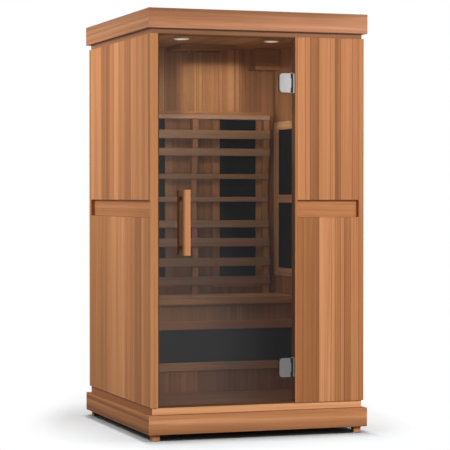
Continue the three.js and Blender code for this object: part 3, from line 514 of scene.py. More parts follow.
def cut_board(mesh, low, high, along, draw, tones=(0.2, 0.85), arris=0.001, joint=0.85):
    """Adds one board between two corners, its grain along an axis, its edges eased and shaded."""
    edges = edges_of(add_block(mesh, low, high))
    eased = bmesh.ops.bevel(
        mesh, geom=edges, offset=arris, affect="EDGES", segments=1, profile=0.5, material=-1
    )["faces"]
    mark_board(mesh, along, draw, tones)
    tone = mesh.faces.layers.float["board_tone"]
    for face in eased:
        face[tone] *= joint


def part_of(low, high, axis, start, stop):
    """The corners of the part of a block that lies between two places along an axis."""
    first, second = Vector(low), Vector(high)
    first[axis], second[axis] = start, stop
    return first, second


def lay_planks(mesh, low, high, across, draw, tones=(0.2, 0.85), widths=(0.022, 0.08), joint=0.85):
    """Fills a field with upright boards of mixed widths."""
    start = low[across]
    end = high[across]
    while end - start > 1e-6:
        width = draw.uniform(*widths)
        stop = end if end - start - width < widths[0] else start + width
        corners = part_of(low, high, across, start, stop)
        cut_board(mesh, *corners, UPRIGHT, draw, tones, 0.0007, joint)
        start = stop


def lay_chosen(mesh, low, high, across, draw, boards, arris=0.001, joint=0.55):
    """Fills a field with upright boards, each given by where it stops and its tone."""
    start = low[across]
    for stop, tone in boards:
        corners = part_of(low, high, across, start, min(stop, high[across]))
        cut_board(mesh, *corners, UPRIGHT, draw, (tone, tone), arris, joint)
        start = stop


def banded_wall(side, across, boards=None):
    """One wall panel: stiles, boards below and above the band, and the board behind the band."""
    low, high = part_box(side + "_wall_panel")
    band_low, band_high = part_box(side + "_wall_band")
    through = 1 - across
    draw = random.Random(side + " wall 4")
    mesh = new_wood()
    starts = band_low[across] - FIT
    ends = band_high[across] + FIT
    for start, stop in ((low[across], starts), (ends, high[across])):
        if stop - start > SLIMMEST_STILE:
            cut_board(mesh, *part_of(low, high, across, start, stop), UPRIGHT, draw, (0.42, 0.44))
    field = part_of(low, high, across, max(starts, low[across]), min(ends, high[across]))
    below = part_of(*field, UPRIGHT, low.z, band_low.z - FIT)
    above = part_of(*field, UPRIGHT, band_high.z + FIT, high.z)
    for level, corners in enumerate((below, above)):
        if boards:
            lay_chosen(mesh, *corners, across, draw, boards[level])
        else:
            lay_planks(mesh, *corners, across, draw, (0.18, 0.8), (0.045, 0.125))
    lower, upper = part_of(*field, UPRIGHT, band_low.z - FIT, band_high.z + FIT)
    if high[through] - band_high[through] < band_low[through] - low[through]:
        upper[through] = band_low[through] - FIT
    else:
        lower[through] = band_high[through] + FIT
    cut_board(mesh, lower, upper, across, draw)
    # The wall's end beside the door gets a dark tone, as painted shade.
    if side == "front":
        facing_left = [face for face in mesh.faces if face.normal.x < -FACING]
        shaded_door_end = [face for face in facing_left if face.calc_center_median().x < low.x + 0.001]
        retone(mesh, shaded_door_end, 0.08)
    finish_piece(mesh, side + "_wall_boards", cedar, "cabin", "cedar", side + "_wall_panel")


LEFT_BELOW = (
    (-0.478, 0.31), (-0.3655, 0.54), (-0.256, 0.26), (-0.191, 0.54),
    (-0.0915, 0.43), (-0.028, 0.72), (0.176, 0.65), (math.inf, 0.36),
)
LEFT_ABOVE = (
    (-0.478, 0.26), (-0.291, 0.48), (-0.191, 0.545), (-0.0915, 0.32), (0.0195, 0.49),
    (0.1005, 0.72), (0.176, 0.5), (0.3365, 0.26), (math.inf, 0.6),
)
FRONT_BELOW = (
    (0.2155, 0.38), (0.2945, 0.25), (0.355, 0.8), (0.3745, 0.785),
    (0.403, 0.48), (0.4225, 0.55), (0.453, 0.37), (math.inf, 0.61),
)
FRONT_ABOVE = (
    (0.2265, 0.72), (0.251, 0.6), (0.2945, 0.2), (0.3515, 0.66),
    (0.3745, 0.6), (0.403, 0.2), (0.4605, 0.55), (math.inf, 0.43),
)
banded_wall("left", INWARDS, (LEFT_BELOW, LEFT_ABOVE))
banded_wall("right", INWARDS)
banded_wall("front", SIDEWAYS, (FRONT_BELOW, FRONT_ABOVE))

mesh = new_wood()
low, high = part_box("back_wall_panel")
draw = random.Random("back wall")
stile = Vector((0.034, 0, 0))
edge = Vector((stile.x, high.y - low.y, high.z - low.z))
for corners in ((low, low + edge), (high - edge, high)):
    cut_board(mesh, *corners, UPRIGHT, draw, (0.55, 0.8))
lay_planks(mesh, low + stile, high - stile, SIDEWAYS, draw)
finish_piece(mesh, "back_wall_boards", cedar, "cabin", "cedar", "back_wall_panel")


# Bands: one cedar board in each recess, its grain lying along the wall.
# They are set back from the boards, so the recess throws a thin shadow.
band_tones = {"left": (0.425, 0.43), "right": (0.5, 0.6), "front": (0.6, 0.605)}
for side, tones in band_tones.items():
    mesh = new_wood()
    along = SIDEWAYS if side == "front" else INWARDS
    cut_board(mesh, *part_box(side + "_wall_band"), along, random.Random(side + " band"), tones, 0.0005)
    finish_piece(mesh, side + "_band_board", cedar, "cabin", "cedar_dark", side + "_wall_band")


# Jamb: a slim upright cedar strip that covers the end of the left wall beside the door.
# It is the door's stop on the closing side.
mesh = new_wood()
mark_board(mesh, UPRIGHT, random.Random("jamb"), (0.714, 0.719), copy_node(mesh, "front_left_jamb"))
finish_piece(mesh, "jamb_strip", cedar, "cabin", "cedar_light", "front_left_jamb")


# Linings: upright cedar boards inside the walls, cut out for the heaters, with raised frames round them.
# Battens on the lower part carry the bench. The back's boards above its rail are chosen one by one.
HEATER_PLAY = 0.001
BOARD_DEPTH = 0.0307
FRAME_RAISE = 0.008
FRAME_RAIL = 0.04
SIDE_STILE = 0.062
BACK_STILE = 0.038
BATTEN_HEIGHT = 0.035
BATTEN_DEPTH = 0.025
BATTEN_ENDS = 0.026
SLIMMEST_FIELD = 0.004


def on_wall(across, run, depth, rise):
    """The lowest and the highest corner of a block, from its ranges along, through and up a wall."""
    first, second = Vector((0, 0, rise[0])), Vector((0, 0, rise[1]))
    first[across], second[across] = run
    first[1 - across], second[1 - across] = depth
    return Vector(map(min, first, second)), Vector(map(max, first, second))


def wall_board(mesh, across, run, depth, rise, along, draw, tones):
    """A board on a wall, from its ranges along, through and up the wall."""
    cut_board(mesh, *on_wall(across, run, depth, rise), along, draw, tones)


def planks_round_windows(mesh, across, run, depth, rise, windows, draw, tones=(0.38, 0.66)):
    """Upright boards over a whole wall, left out where the windows are."""

    def field(ends, levels):
        if min(ends[1] - ends[0], levels[1] - levels[0]) > SLIMMEST_FIELD:
            corners = on_wall(across, ends, depth, levels)
            lay_planks(mesh, *corners, across, draw, tones, (0.018, 0.05), 0.55)

    start = run[0]
    for column in sorted({window[0] for window in windows}):
        field((start, column[0]), rise)
        level = rise[0]
        for low, high in sorted(window[1] for window in windows if window[0] == column):
            field(column, (level, low))
            level = high
        field(column, (level, rise[1]))
        start = column[1]
    field((start, run[1]), rise)


def heater_window(node, across):
    """The hole that a heater fills, as its ranges along the wall and upwards."""
    low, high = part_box(node)
    run = (round(low[across] - HEATER_PLAY, 5), round(high[across] + HEATER_PLAY, 5))
    return run, (low.z - HEATER_PLAY, high.z + HEATER_PLAY)


def beside(run, width):
    """The ranges of the two stiles that stand at the ends of a window."""
    return (run[0] - width, run[0]), (run[1], run[1] + width)


seat_low, seat_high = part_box("bench_seat")
riser_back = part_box("bench_front")[1].y
batten = (seat_low.z - FIT - BATTEN_HEIGHT, seat_low.z - FIT)
for side, sign in {"left": -1, "right": 1}.items():
    low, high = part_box(side + "_lining")
    outer = high.x if sign > 0 else low.x
    board_face = outer - sign * BOARD_DEPTH
    frame_face = board_face - sign * FRAME_RAISE
    raised = (board_face, frame_face)
    windows = [heater_window(f"{side}_heater_{level}", INWARDS) for level in ("lower", "upper")]
    run, bottom = windows[0]
    top = windows[1][1]
    foot, head = bottom[0] - FRAME_RAIL, top[1] + FRAME_RAIL
    draw = random.Random(side + " lining")
    mesh = new_wood()
    whole, depth, height = (low.y, high.y), (outer, board_face), (low.z, high.z)
    planks_round_windows(mesh, INWARDS, whole, depth, height, windows, draw)
    for ends in beside(run, SIDE_STILE):
        wall_board(mesh, INWARDS, ends, raised, (foot, head), UPRIGHT, draw, (0.89, 0.91))
    for rise in ((foot, bottom[0]), (bottom[1], top[0]), (top[1], head)):
        wall_board(mesh, INWARDS, run, raised, rise, INWARDS, draw, (0.85, 0.95))
    ends = (riser_back + FIT, seat_high.y)
    depth = (board_face, board_face - sign * BATTEN_DEPTH)
    wall_board(mesh, INWARDS, ends, depth, batten, INWARDS, draw, (0.3, 0.5))
    finish_piece(mesh, side + "_lining_boards", cedar, "cabin", "cedar", side + "_lining")

low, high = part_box("back_lining")
outer = high.y
board_face = outer - BOARD_DEPTH
raised = (board_face - FRAME_RAISE, board_face)
windows = [heater_window("back_heater_" + side, SIDEWAYS) for side in ("left", "right")]
rail_level = windows[0][1][1]
meeting = rail_level + FRAME_RAIL / 2
draw = random.Random("back lining")
mesh = new_wood()
whole, depth, height = (low.x, high.x), (board_face, outer), (low.z, meeting)
# The boards below the rail get darker tones, as painted shade from the slats in front of them.
planks_round_windows(mesh, SIDEWAYS, whole, depth, height, windows, draw, (0.22, 0.42))
BACK_ABOVE = (
    (-0.29, 0.5), (-0.22, 0.44), (-0.148, 0.755), (-0.086, 0.465), (-0.05, 0.53), (-0.018, 0.475),
    (0.01, 0.37), (0.023, 0.7), (0.034, 0.47), (0.055, 0.58), (0.121, 0.39), (0.141, 0.34),
    (0.162, 0.4), (0.182, 0.4), (0.226, 0.66), (0.235, 0.43), (0.255, 0.66), (0.287, 0.395),
    (0.338, 0.5), (0.37, 0.43), (math.inf, 0.61),
)
above_rail = Vector((low.x, board_face, meeting)), Vector((high.x, outer, high.z))
lay_chosen(mesh, *above_rail, SIDEWAYS, draw, BACK_ABOVE, 0.0012, 0.4)
for run, rise in windows:
    foot = rise[0] - FRAME_RAIL
    for ends in beside(run, BACK_STILE):
        wall_board(mesh, SIDEWAYS, ends, raised, (foot, rise[1]), UPRIGHT, draw, (0.655, 0.66))
    wall_board(mesh, SIDEWAYS, run, raised, (foot, rise[0]), SIDEWAYS, draw, (0.5, 0.7))
rail_low, rail_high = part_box("backrest_slat_1")
run, rise = (rail_low.x, rail_high.x), (rail_level, rail_level + FRAME_RAIL)
wall_board(mesh, SIDEWAYS, run, raised, rise, SIDEWAYS, draw, (0.72, 0.76))
run, depth = (low.x + BATTEN_ENDS, high.x - BATTEN_ENDS), (board_face, board_face - BATTEN_DEPTH)
wall_board(mesh, SIDEWAYS, run, depth, batten, SIDEWAYS, draw, (0.3, 0.5))
finish_piece(mesh, "back_lining_boards", cedar, "cabin", "cedar", "back_lining")


# Heaters: flat carbon panels behind a black woven cover, held in the frames of the linings and the bench.
# The weave is fine, with faint strips where the carbon film lies and a dark seam between them.
SEAM_EVERY = 0.075
SEAM_WIDTH = 0.002


def dress(node, material):
    """Gives a CAD node its finish."""
    nodes[node].data.materials.clear()
    nodes[node].data.materials.append(material)


carbon, tree = new_finish("carbon_weave")
place = object_place(tree)
weave = {"Vector": place, "Scale": 160, "Distortion": 0.4, "Detail": 1}
threads = [
    add_node(tree, "TexWave", weave, wave_type="BANDS", bands_direction=direction).outputs["Fac"]
    for direction in ("X", "Y", "Z")
]
woven = worked_out(tree, "ADD", worked_out(tree, "ADD", threads[0], threads[1]), threads[2])
strips = noise(tree, stretched(tree, place, (16, 16, 2)), 1, 1)
level = spread(tree, woven, 0.6, 2.4, 0.0, 0.7)
mixed = worked_out(tree, "MULTIPLY_ADD", strips, 0.3, level)
black = colour_ramp(tree, mixed, (0.0, "#141416"), (1.0, "#2E2E31"))
axes = object_axes(tree)
along = worked_out(tree, "ADD", axes["X"], axes["Y"])
to_seam = worked_out(tree, "PINGPONG", along, SEAM_EVERY / 2)
seam = spread(tree, to_seam, 0, SEAM_WIDTH, 0.45, 1)
coat(
    tree,
    {
        "Base Color": dimmed(tree, black, seam),
        "Roughness": spread(tree, woven, 0.6, 2.4, 0.85, 0.65),
        "Normal": relief(tree, woven, 0.4, 0.0004),
        "Specular IOR Level": 0.3,
    },
)
heaters = [f"{side}_heater_{level}" for side in ("left", "right") for level in ("lower", "upper")]
for heater in heaters + ["back_heater_left", "back_heater_right", "calf_heater"]:
    dress(heater, carbon)


# Bench front: upright boards below the seat, with rails and end stiles round the calf heater.
# It stands on the floor between the linings.
low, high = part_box("bench_front")
board_face = low.y + FRAME_RAISE
raised = (low.y, board_face)
draw = random.Random("bench front")
windows = [heater_window("calf_heater", SIDEWAYS)]
run, rise = windows[0]
mesh = new_wood()
whole, depth, height = (low.x, high.x), (board_face, high.y), (low.z, high.z)
planks_round_windows(mesh, SIDEWAYS, whole, depth, height, windows, draw, (0.35, 0.62))
for ends in ((low.x, run[0]), (run[1], high.x)):
    wall_board(mesh, SIDEWAYS, ends, raised, rise, UPRIGHT, draw, (0.5, 0.7))
for level, tones in ((rise[0] - FRAME_RAIL, (0.76, 0.8)), (rise[1], (0.55, 0.6))):
    wall_board(mesh, SIDEWAYS, whole, raised, (level, level + FRAME_RAIL), SIDEWAYS, draw, tones)
finish_piece(mesh, "bench_front_boards", cedar, "cabin", "cedar", "bench_front")


# Bench seat: cedar boards laid from side to side on the battens, sanded smooth.
# The front board has a rounded nosing.
NOSING_DEPTH = 0.095
NOSING_ROUND = 0.009
SEAT_BOARDS = 4


def soften(mesh, degrees=35):
    """Shades round faces smooth, and keeps the edges that turn further than an angle."""
    for face in mesh.faces:
        face.smooth = True
    for edge in mesh.edges:
        if len(edge.link_faces) == 2:
            edge.smooth = edge.calc_face_angle(0) < math.radians(degrees)


low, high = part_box("bench_seat")
draw = random.Random("bench seat")
mesh = new_wood()
add_block(mesh, low, (high.x, low.y + NOSING_DEPTH, high.z))
in_front = [edge for edge in mesh.edges if all(vert.co.y < low.y + 0.001 for vert in edge.verts)]
long_edges = [edge for edge in in_front if edge.calc_length() > 0.5]
bmesh.ops.bevel(
    mesh, geom=long_edges, offset=NOSING_ROUND, affect="EDGES", segments=5, profile=0.5, material=-1
)
soften(mesh)
mark_board(mesh, SIDEWAYS, draw, (0.6, 0.7))
# The nosing's upward faces get a dark tone, as painted shade that tones down the lamp's light on them.
retone(mesh, [face for face in mesh.faces if face.normal.z > 0.2], 0.2)
pitch = (high.y - low.y - NOSING_DEPTH) / SEAT_BOARDS
for index in range(SEAT_BOARDS):
    start = low.y + NOSING_DEPTH + pitch * index
    corners = (low.x, start, low.z), (high.x, start + pitch, high.z)
    cut_board(mesh, *corners, SIDEWAYS, draw, (0.88, 0.92), 0.0012)
finish_piece(mesh, "bench_seat_boards", cedar, "cabin", "cedar_light", "bench_seat")


# Backrest: nine cedar slats with rounded edges, screwed to three shaped posts so that they follow a wave.
# The slats run from side to side, and the posts stand on the seat.
SLAT_COLOURS = ((0.0, "#8F664A"), (0.5, "#B58361"), (1.0, "#CE9E7C"))
slat_cedar = cedar_material("slat_cedar", 0.3, colours=SLAT_COLOURS)
slats = [f"backrest_slat_{number}" for number in range(1, 10)]
# The slats' tones fall from top to bottom, as a painted fall-off of the lamps' light: the top slat pale,
# the lowest dark.
slat_tones = (0.98, 0.58, 0.6, 0.42, 0.44, 0.4, 0.27, 0.17, 0.14)
mesh = new_wood()
for slat, tone in zip(slats, slat_tones):
    mark_board(mesh, SIDEWAYS, random.Random(slat), (tone, tone + 0.02), copy_node(mesh, slat))
soften(mesh)
finish_piece(mesh, "backrest_slats", slat_cedar, "cabin", "cedar_light", *slats)
posts = ["backrest_post_" + side for side in ("left", "centre", "right")]
mesh = new_wood()
for post in posts:
    mark_board(mesh, UPRIGHT, random.Random(post), (0.56, 0.62), copy_node(mesh, post))
finish_piece(mesh, "backrest_posts", cedar, "cabin", "cedar_dark", *posts)


# Neck and ceiling: a ring of cedar on top of the walls, set back from their face, and boards inside it.
# The ceiling boards run from front to back, and are cut out for the lamps and the vent.
# The neck takes a darker cedar of its own, as painted shade under the crown's overhang.
NECK_COLOURS = ((0.0, "#875C3E"), (1.0, "#B98C69"))
neck_cedar = cedar_material("neck_cedar", 0.3, colours=NECK_COLOURS)
neck_tones = dict.fromkeys(("front", "left", "right", "back"), (0.2, 0.24))
mitred_ring("neck_frame", "neck_boards", "cedar_light", neck_tones, neck_cedar)
low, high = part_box("ceiling_panel")
mesh = new_wood()
copy_node(mesh, "ceiling_panel")
lay_boards(mesh, "ceiling", INWARDS, SIDEWAYS, low.x, high.x, 0.086, (0.3, 0.7))
finish_piece(mesh, "ceiling_boards", cedar, "cabin", "cedar", "ceiling_panel")


# Lamps: two recessed downlights with white bezels, and a flat, frosted lens under each that glows.
# Lights inside the cabin stand in for their beams and for what the cedar walls throw back.
LENS_RADIUS = 0.0245
LENS_THICKNESS = 0.001

# The bezels glow a little, though they are no lamps: painted light.
bezel, tree = new_finish("white_bezel")
speckle = noise(tree, object_place(tree), 900, 2)
coat(
    tree,
    {
        "Base Color": colour_ramp(tree, speckle, (0.3, "#D9D6CE"), (0.7, "#EFEDE6")),
        "Roughness": spread(tree, speckle, 0, 1, 0.35, 0.55),
        "Emission Color": (1, 0.72, 0.5, 1),
        "Emission Strength": 0.3,
    },
)
lens_glow, tree = new_finish("frosted_lens")
frost = noise(tree, object_place(tree), 300, 3)
warm = colour_ramp(tree, frost, (0.3, "#FFE6CC"), (0.7, "#FFEBD4"))
coat(tree, {"Base Color": warm, "Roughness": 0.5, "Emission Color": warm, "Emission Strength": 1.0})

for side in ("left", "right"):
    dress("downlight_" + side, bezel)
    low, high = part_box("downlight_" + side)
    centre = (low + high) / 2
    mesh = bmesh.new()
    bmesh.ops.create_circle(mesh, cap_ends=True, segments=40, radius=LENS_RADIUS)
    bmesh.ops.recalc_face_normals(mesh, faces=mesh.faces)
    bmesh.ops.solidify(mesh, geom=list(mesh.faces), thickness=LENS_THICKNESS)
    turn(mesh, mesh.verts, math.pi, "X")
    bmesh.ops.translate(mesh, verts=mesh.verts, vec=(centre.x, centre.y, low.z - LENS_THICKNESS))
    soften(mesh, 50)
    finish_piece(mesh, "downlight_lens_" + side, lens_glow, "cabin", "lamp_bezel")


def beam(name, power, at, towards, degrees, blur, softness):
    """A lamp's beam inside the cabin, as a spot light."""
    lamp = add_lamp(name, "SPOT", power, (0.92, 1, 1), at)
    lamp.data.spot_size = math.radians(degrees)
    lamp.data.spot_blend = blur
    lamp.data.shadow_soft_size = softness
    aim(lamp, towards)


def glowing_board(name, power, at, size, tilt, fan=180, colour=(0.88, 1, 1)):
    """Light that the cabin's own walls throw back, as an unseen soft box."""
    lamp = add_soft_box(name, power, colour, at, size)
    lamp.data.spread = math.radians(fan)
    lamp.rotation_euler = [math.radians(angle) for angle in tilt]


BACKWARDS, RIGHTWARDS, DOWNWARDS, UPWARDS = (90, 0, 0), (0, -90, 0), (0, 0, 0), (180, 0, 0)
DAYLIGHT = (0.55, 1, 1.35)
beam("lamp_beam", 15.2, (-0.08, -0.38, 1.8), (-0.08, 0.45, 0.81), 100, 0.35, 0.12)
beam("lamp_spill_left", 4, (-0.228, -0.06, 1.83), (-0.36, 0.46, 1.65), 60, 1.0, 0.05)
glowing_board("lamp_pool", 0.28, (0.114, -0.05, 1.65), (0.322, 0.24), BACKWARDS, 7)
glowing_board("lamp_pool_top", 0.062, (0.114, -0.05, 1.706), (0.322, 0.13), BACKWARDS, 7)
glowing_board("lamp_glow_back", 0.22, (0.195, -0.05, 1.605), (0.54, 0.31), BACKWARDS, 11)
glowing_board("lamp_glow_right", 0.25, (0.0, 0.22, 1.6), (0.28, 0.49), RIGHTWARDS, 14)
glowing_board("lamp_glow_frame", 0.04, (0.2, 0.18, 1.467), (0.044, 0.46), RIGHTWARDS, 6)
glowing_board("light_from_door", 1.55, (-0.25, -0.4, 1.0), (0.4, 1.0), BACKWARDS, colour=DAYLIGHT)
glowing_board("light_on_floor", 0.16, (-0.27, -0.36, 0.5), (0.24, 0.16), DOWNWARDS)
glowing_board("light_upwards", 1.1, (0.0, -0.3, 1.25), (0.6, 0.2), UPWARDS)
glowing_board("light_to_right", 2.8, (-0.38, -0.1, 1.25), (1.0, 0.4), RIGHTWARDS)


# Roof vent: a cedar plate with lipped rails under the ceiling, and a board that slides between them.
# A turned knob on the board moves it off the air hole.
mesh = new_wood()
mark_board(mesh, SIDEWAYS, random.Random("vent frame"), (0.2, 0.3), copy_node(mesh, "vent_frame"))
finish_piece(mesh, "vent_rails", cedar, "cabin", "cedar_dark", "vent_frame")
mesh = new_wood()
mark_board(mesh, INWARDS, random.Random("vent cover"), (0.3, 0.4), copy_node(mesh, "vent_cover"))
soften(mesh)
finish_piece(mesh, "vent_board", cedar, "vent", "cedar_light", "vent_cover")


# Speaker box: thin cedar boards in the back right corner under the ceiling, on a wider base board.
# A moulded black grille of rings and spokes closes the hole below.
BASE_THICKNESS = 0.0135
BASE_LIP = 0.006
GRILLE_WIRE = 0.0016
GRILLE_RINGS = (0.005, 0.0115, 0.018, 0.0245, 0.031)
GRILLE_SPOKE = (0.0625, 0.003, 0.0022)
SPOKES = 3


def spin_round(mesh, verts, steps):
    """Spins an outline once round the upright axis through the origin."""
    outline = verts + edges_of(verts)
    whole_turn = 2 * math.pi
    bmesh.ops.spin(
        mesh, geom=outline, cent=(0, 0, 0), axis=(0, 0, 1), angle=whole_turn, steps=steps, use_merge=True
    )


low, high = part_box("speaker_box")
mesh = new_wood()
copy_node(mesh, "speaker_box")
# The base board's front edge gets a paler tone, as a painted highlight.
to_front = [face for face in mesh.faces if face.normal.y < -FACING]
base_edge = [face for face in to_front if face.calc_center_median().z < low.z + BASE_THICKNESS]
mark_board(mesh, SIDEWAYS, random.Random("speaker base"), (0.7, 0.75), base_edge)
mark_board(mesh, SIDEWAYS, random.Random("speaker box"), (0.4, 0.45))
finish_piece(mesh, "speaker_boards", cedar, "cabin", "cedar_dark", "speaker_box")

moulded, tree = new_finish("moulded_black")
pebble = add_node(tree, "TexVoronoi", {"Vector": object_place(tree), "Scale": 700}).outputs["Distance"]
coat(
    tree,
    {
        "Base Color": colour_ramp(tree, pebble, (0.0, "#1B1B1D"), (1.0, "#27272A")),
        "Roughness": spread(tree, pebble, 0, 1, 0.38, 0.55),
        "Normal": relief(tree, pebble, 0.2, 0.0003),
    },
)
mesh = bmesh.new()
for radius in GRILLE_RINGS:
    made = bmesh.ops.create_circle(mesh, segments=8, radius=GRILLE_WIRE)["verts"]
    turn(mesh, made, math.pi / 2, "X")
    bmesh.ops.translate(mesh, verts=made, vec=(radius, 0, 0))
    spin_round(mesh, made, 40)
for index in range(SPOKES):
    made = bmesh.ops.create_cube(mesh, size=1)["verts"]
    bmesh.ops.scale(mesh, vec=GRILLE_SPOKE, verts=made)
    turn(mesh, made, math.pi * index / SPOKES, "Z")
hole_middle = Vector(((low.x + BASE_LIP + high.x) / 2, (low.y + BASE_LIP + high.y) / 2, low.z + BASE_LIP))
bmesh.ops.translate(mesh, verts=mesh.verts, vec=hole_middle)
bmesh.ops.recalc_face_normals(mesh, faces=mesh.faces)
soften(mesh, 50)
finish_piece(mesh, "speaker_grille", moulded, "cabin", "black_plastic")


# Control panel: a black moulded housing on the inner face of the front wall, with a display and touch keys.
# The keys are raised steel dots in its dished face, and none of them moves.
DISH_DEPTH = 0.0015
DISPLAY_SIZE = (0.084, 0.034, 1)
DISPLAY_PLACE = (0, 0.018)
DISPLAY_THICKNESS = 0.0009
KEY_RADIUS = 0.0075
KEY_COLUMNS = (-0.048, -0.024, 0.0, 0.024, 0.048)
KEY_ROW = -0.022
KEY_THICKNESS = 0.0008

dress("control_panel", moulded)
low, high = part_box("control_panel")
dish = Vector(((low.x + high.x) / 2, high.y - DISH_DEPTH, (low.z + high.z) / 2))


def control_part(mesh, made, at, thickness):
    """Thickens a flat shape and stands it up in the dish, at a place across and above its middle."""
    faces = list({face for vert in made for face in vert.link_faces})
    raised = bmesh.ops.extrude_face_region(mesh, geom=faces)["geom"]
    top = [item for item in raised if isinstance(item, bmesh.types.BMVert)]
    bmesh.ops.translate(mesh, verts=top, vec=(0, 0, thickness))
    whole = made + top
    turn(mesh, whole, -math.pi / 2, "X")
    bmesh.ops.translate(mesh, verts=whole, vec=dish + Vector((at[0], 0, at[1])))


display, tree = new_finish("control_display")
grid = {"Vector": object_place(tree), "Scale": 420}
cells = add_node(tree, "TexVoronoi", grid, distance="CHEBYCHEV").outputs["Distance"]
coat(
    tree,
    {
        "Base Color": colour_ramp(tree, cells, (0.2, "#0D1114"), (0.8, "#182026")),
        "Roughness": 0.12,
        "Emission Color": colour_ramp(tree, cells, (0.2, "#0A1A20"), (0.8, "#123039")),
        "Emission Strength": 0.6,
    },
)
mesh = bmesh.new()
made = bmesh.ops.create_grid(mesh, x_segments=1, y_segments=1, size=0.5)["verts"]
bmesh.ops.scale(mesh, vec=DISPLAY_SIZE, verts=made)
control_part(mesh, made, DISPLAY_PLACE, DISPLAY_THICKNESS)
bmesh.ops.recalc_face_normals(mesh, faces=mesh.faces)
finish_piece(mesh, "control_display", display, "cabin", "black_plastic")

steel, tree = new_finish("satin_steel")
brush = noise(tree, stretched(tree, object_place(tree), (60, 60, 1500)), 1, 2)
brushed = colour_ramp(tree, brush, (0.3, "#C6C3C1"), (0.7, "#DAD8D6"))
# The steel is darker low down, as painted shade on the lower hinge.
shaded_low_down = spread(tree, object_axes(tree)["Z"], 0.4, 0.9, 0.75, 1)
coat(
    tree,
    {
        "Base Color": dimmed(tree, brushed, shaded_low_down),
        "Roughness": spread(tree, brush, 0, 1, 0.28, 0.45),
        "Metallic": 1.0,
    },
)
mesh = bmesh.new()
for column in KEY_COLUMNS:
    made = bmesh.ops.create_circle(mesh, cap_ends=True, segments=28, radius=KEY_RADIUS)["verts"]
    control_part(mesh, made, (column, KEY_ROW), KEY_THICKNESS)
bmesh.ops.recalc_face_normals(mesh, faces=mesh.faces)
soften(mesh, 50)
finish_piece(mesh, "control_keys", steel, "cabin", "satin_steel")


# Crown and roof: four mitred cedar boards on edge that hide the roof space, and a plain roof board.
# The roof board lies on a ledge inside the crown, with the air hole, a power box and a gland for the lead.
CROWN_COLOURS = ((0.0, "#8E5E3C"), (0.4, "#AC7651"), (0.7, "#C28A64"), (1.0, "#DAA680"))
crown_cedar = cedar_material("crown_cedar", 0.6, (1.95, 1.93, 0.74), CROWN_COLOURS, 120)
crown_tones = {"front": (0.44, 0.445), "left": (0.31, 0.315), "right": (0.4, 0.5), "back": (0.4, 0.5)}
mitred_ring("crown_frame", "crown_boards", "cedar", crown_tones, crown_cedar)
low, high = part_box("roof_cover")
mesh = new_wood()
copy_node(mesh, "roof_cover")
lay_boards(mesh, "roof", SIDEWAYS, INWARDS, low.y, high.y, 0.2, (0.3, 0.5))
finish_piece(mesh, "roof_boards", cedar, "cabin", "cedar_dark", "roof_cover")
for node in ("cable_gland", "power_box"):
    dress(node, moulded)


# Door glass: a toughened bronze pane with polished edges, notched at the hinges and drilled for the handle.
# It passes part of the light and mirrors a little of the room.
bronze, tree = new_finish("bronze_glass")
cloudy = noise(tree, object_place(tree), 1.5, 1)
tint = colour_ramp(tree, cloudy, (0.3, (0.655, 0.66, 0.655, 1)), (0.7, (0.675, 0.68, 0.675, 1)))
passed = add_node(tree, "BsdfTransparent", {"Color": tint}).outputs[0]
mirror = add_node(tree, "BsdfGlossy", {"Color": WHITE, "Roughness": 0.05}).outputs[0]
edge_on = add_node(tree, "Fresnel", {"IOR": 1.5}).outputs[0]
leaving = add_node(tree, "NewGeometry").outputs["Backfacing"]
both_faces = spread(tree, leaving, 0, 1, 1.25, 0)
share = worked_out(tree, "MULTIPLY", edge_on, both_faces, use_clamp=True)
add_node(tree, "OutputMaterial", {"Surface": blend(tree, share, passed, mirror)})
dress("door_glass", bronze)


# Door seals: brown rubber lips pushed onto the pane's lower and upper edges, just clear of the floor and
# the neck. They are dark strips that stand in for the shadow lines there, as painted shade. Each is a
# U-shaped strip, cut to the width of the glass.
SEAL_HEIGHT = 0.005
SEAL_WALLS = 0.0036
LIP_THICKNESS = 0.0013
GROOVE_DEPTH = 0.0025
SEAL_OVERLAP = 0.001

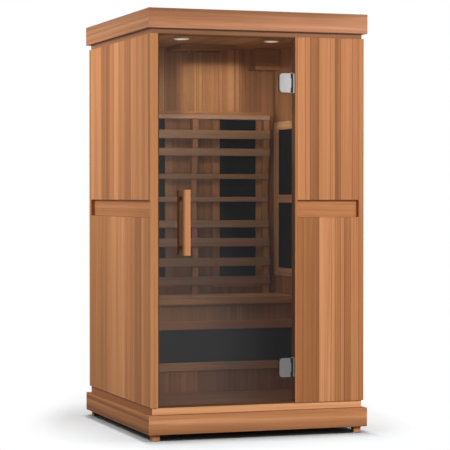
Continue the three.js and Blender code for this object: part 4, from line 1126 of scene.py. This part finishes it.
shadow_strip_finish, tree = new_finish("brown_shadow_strip")
bloom = noise(tree, object_place(tree), 220, 2)
darker_paint = colour_ramp(tree, bloom, (0.3, "#55371F"), (0.7, "#664529"))
coat(tree, {"Base Color": darker_paint, "Roughness": 0.8, "Specular IOR Level": 0.1})
low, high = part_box("door_glass")
for level, edge, inwards in (("lower", low.z, 1), ("upper", high.z, -1)):
    mesh = bmesh.new()
    made = bmesh.ops.create_cube(mesh, size=1)["verts"]
    bmesh.ops.scale(mesh, vec=(high.x - low.x, high.y - low.y + SEAL_WALLS, SEAL_HEIGHT), verts=made)
    middle = Vector(((low.x + high.x) / 2, (low.y + high.y) / 2, edge + inwards * SEAL_OVERLAP))
    bmesh.ops.translate(mesh, vec=middle, verts=made)
    groove = [face for face in mesh.faces if face.normal.z * inwards > FACING]
    bmesh.ops.inset_region(mesh, faces=groove, thickness=LIP_THICKNESS)
    bmesh.ops.translate(mesh, vec=(0, 0, -inwards * GROOVE_DEPTH), verts=groove[0].verts)
    finish_piece(mesh, "door_shadow_seal_" + level, shadow_strip_finish, "door", "black_plastic")


# Hinges: satin steel clamps hold the glass, on leaves screwed to the end of the front wall.
# A pin with a low head runs through the knuckles, in a black sleeve.
SLEEVE_OUTER, SLEEVE_INNER = 0.0076, 0.0066
PIN_HEAD = 0.003
for level in ("upper", "lower"):
    for member in ("clamp", "leaf", "pin"):
        dress(f"hinge_{member}_{level}", steel)
    low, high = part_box("hinge_pin_" + level)
    axis = (low + high) / 2
    reach = (high.z - low.z - PIN_HEAD) / 2
    outline = (SLEEVE_OUTER, -reach), (SLEEVE_OUTER, reach), (SLEEVE_INNER, reach), (SLEEVE_INNER, -reach)
    mesh = bmesh.new()
    corners = [mesh.verts.new((radius, 0, height)) for radius, height in outline]
    for index in range(4):
        mesh.edges.new((corners[index - 1], corners[index]))
    spin_round(mesh, corners, 28)
    bmesh.ops.translate(mesh, verts=mesh.verts, vec=(axis.x, axis.y, axis.z - PIN_HEAD / 2))
    bmesh.ops.recalc_face_normals(mesh, faces=mesh.faces)
    soften(mesh)
    finish_piece(mesh, "hinge_sleeve_" + level, moulded, "cabin", "black_plastic")


# Handles: two round-edged cedar bars, one on each side of the glass, on short stand-offs.
# The outer bar's studs run through the pane into the inner one.
for side, tones in {"outer": (0.782, 0.787), "inner": (0.975, 0.985)}.items():
    mesh = new_wood()
    mark_board(mesh, UPRIGHT, random.Random("handle " + side), tones, copy_node(mesh, "handle_" + side))
    soften(mesh)
    finish_piece(mesh, "handle_bar_" + side, cedar, "door", "cedar_light", "handle_" + side)
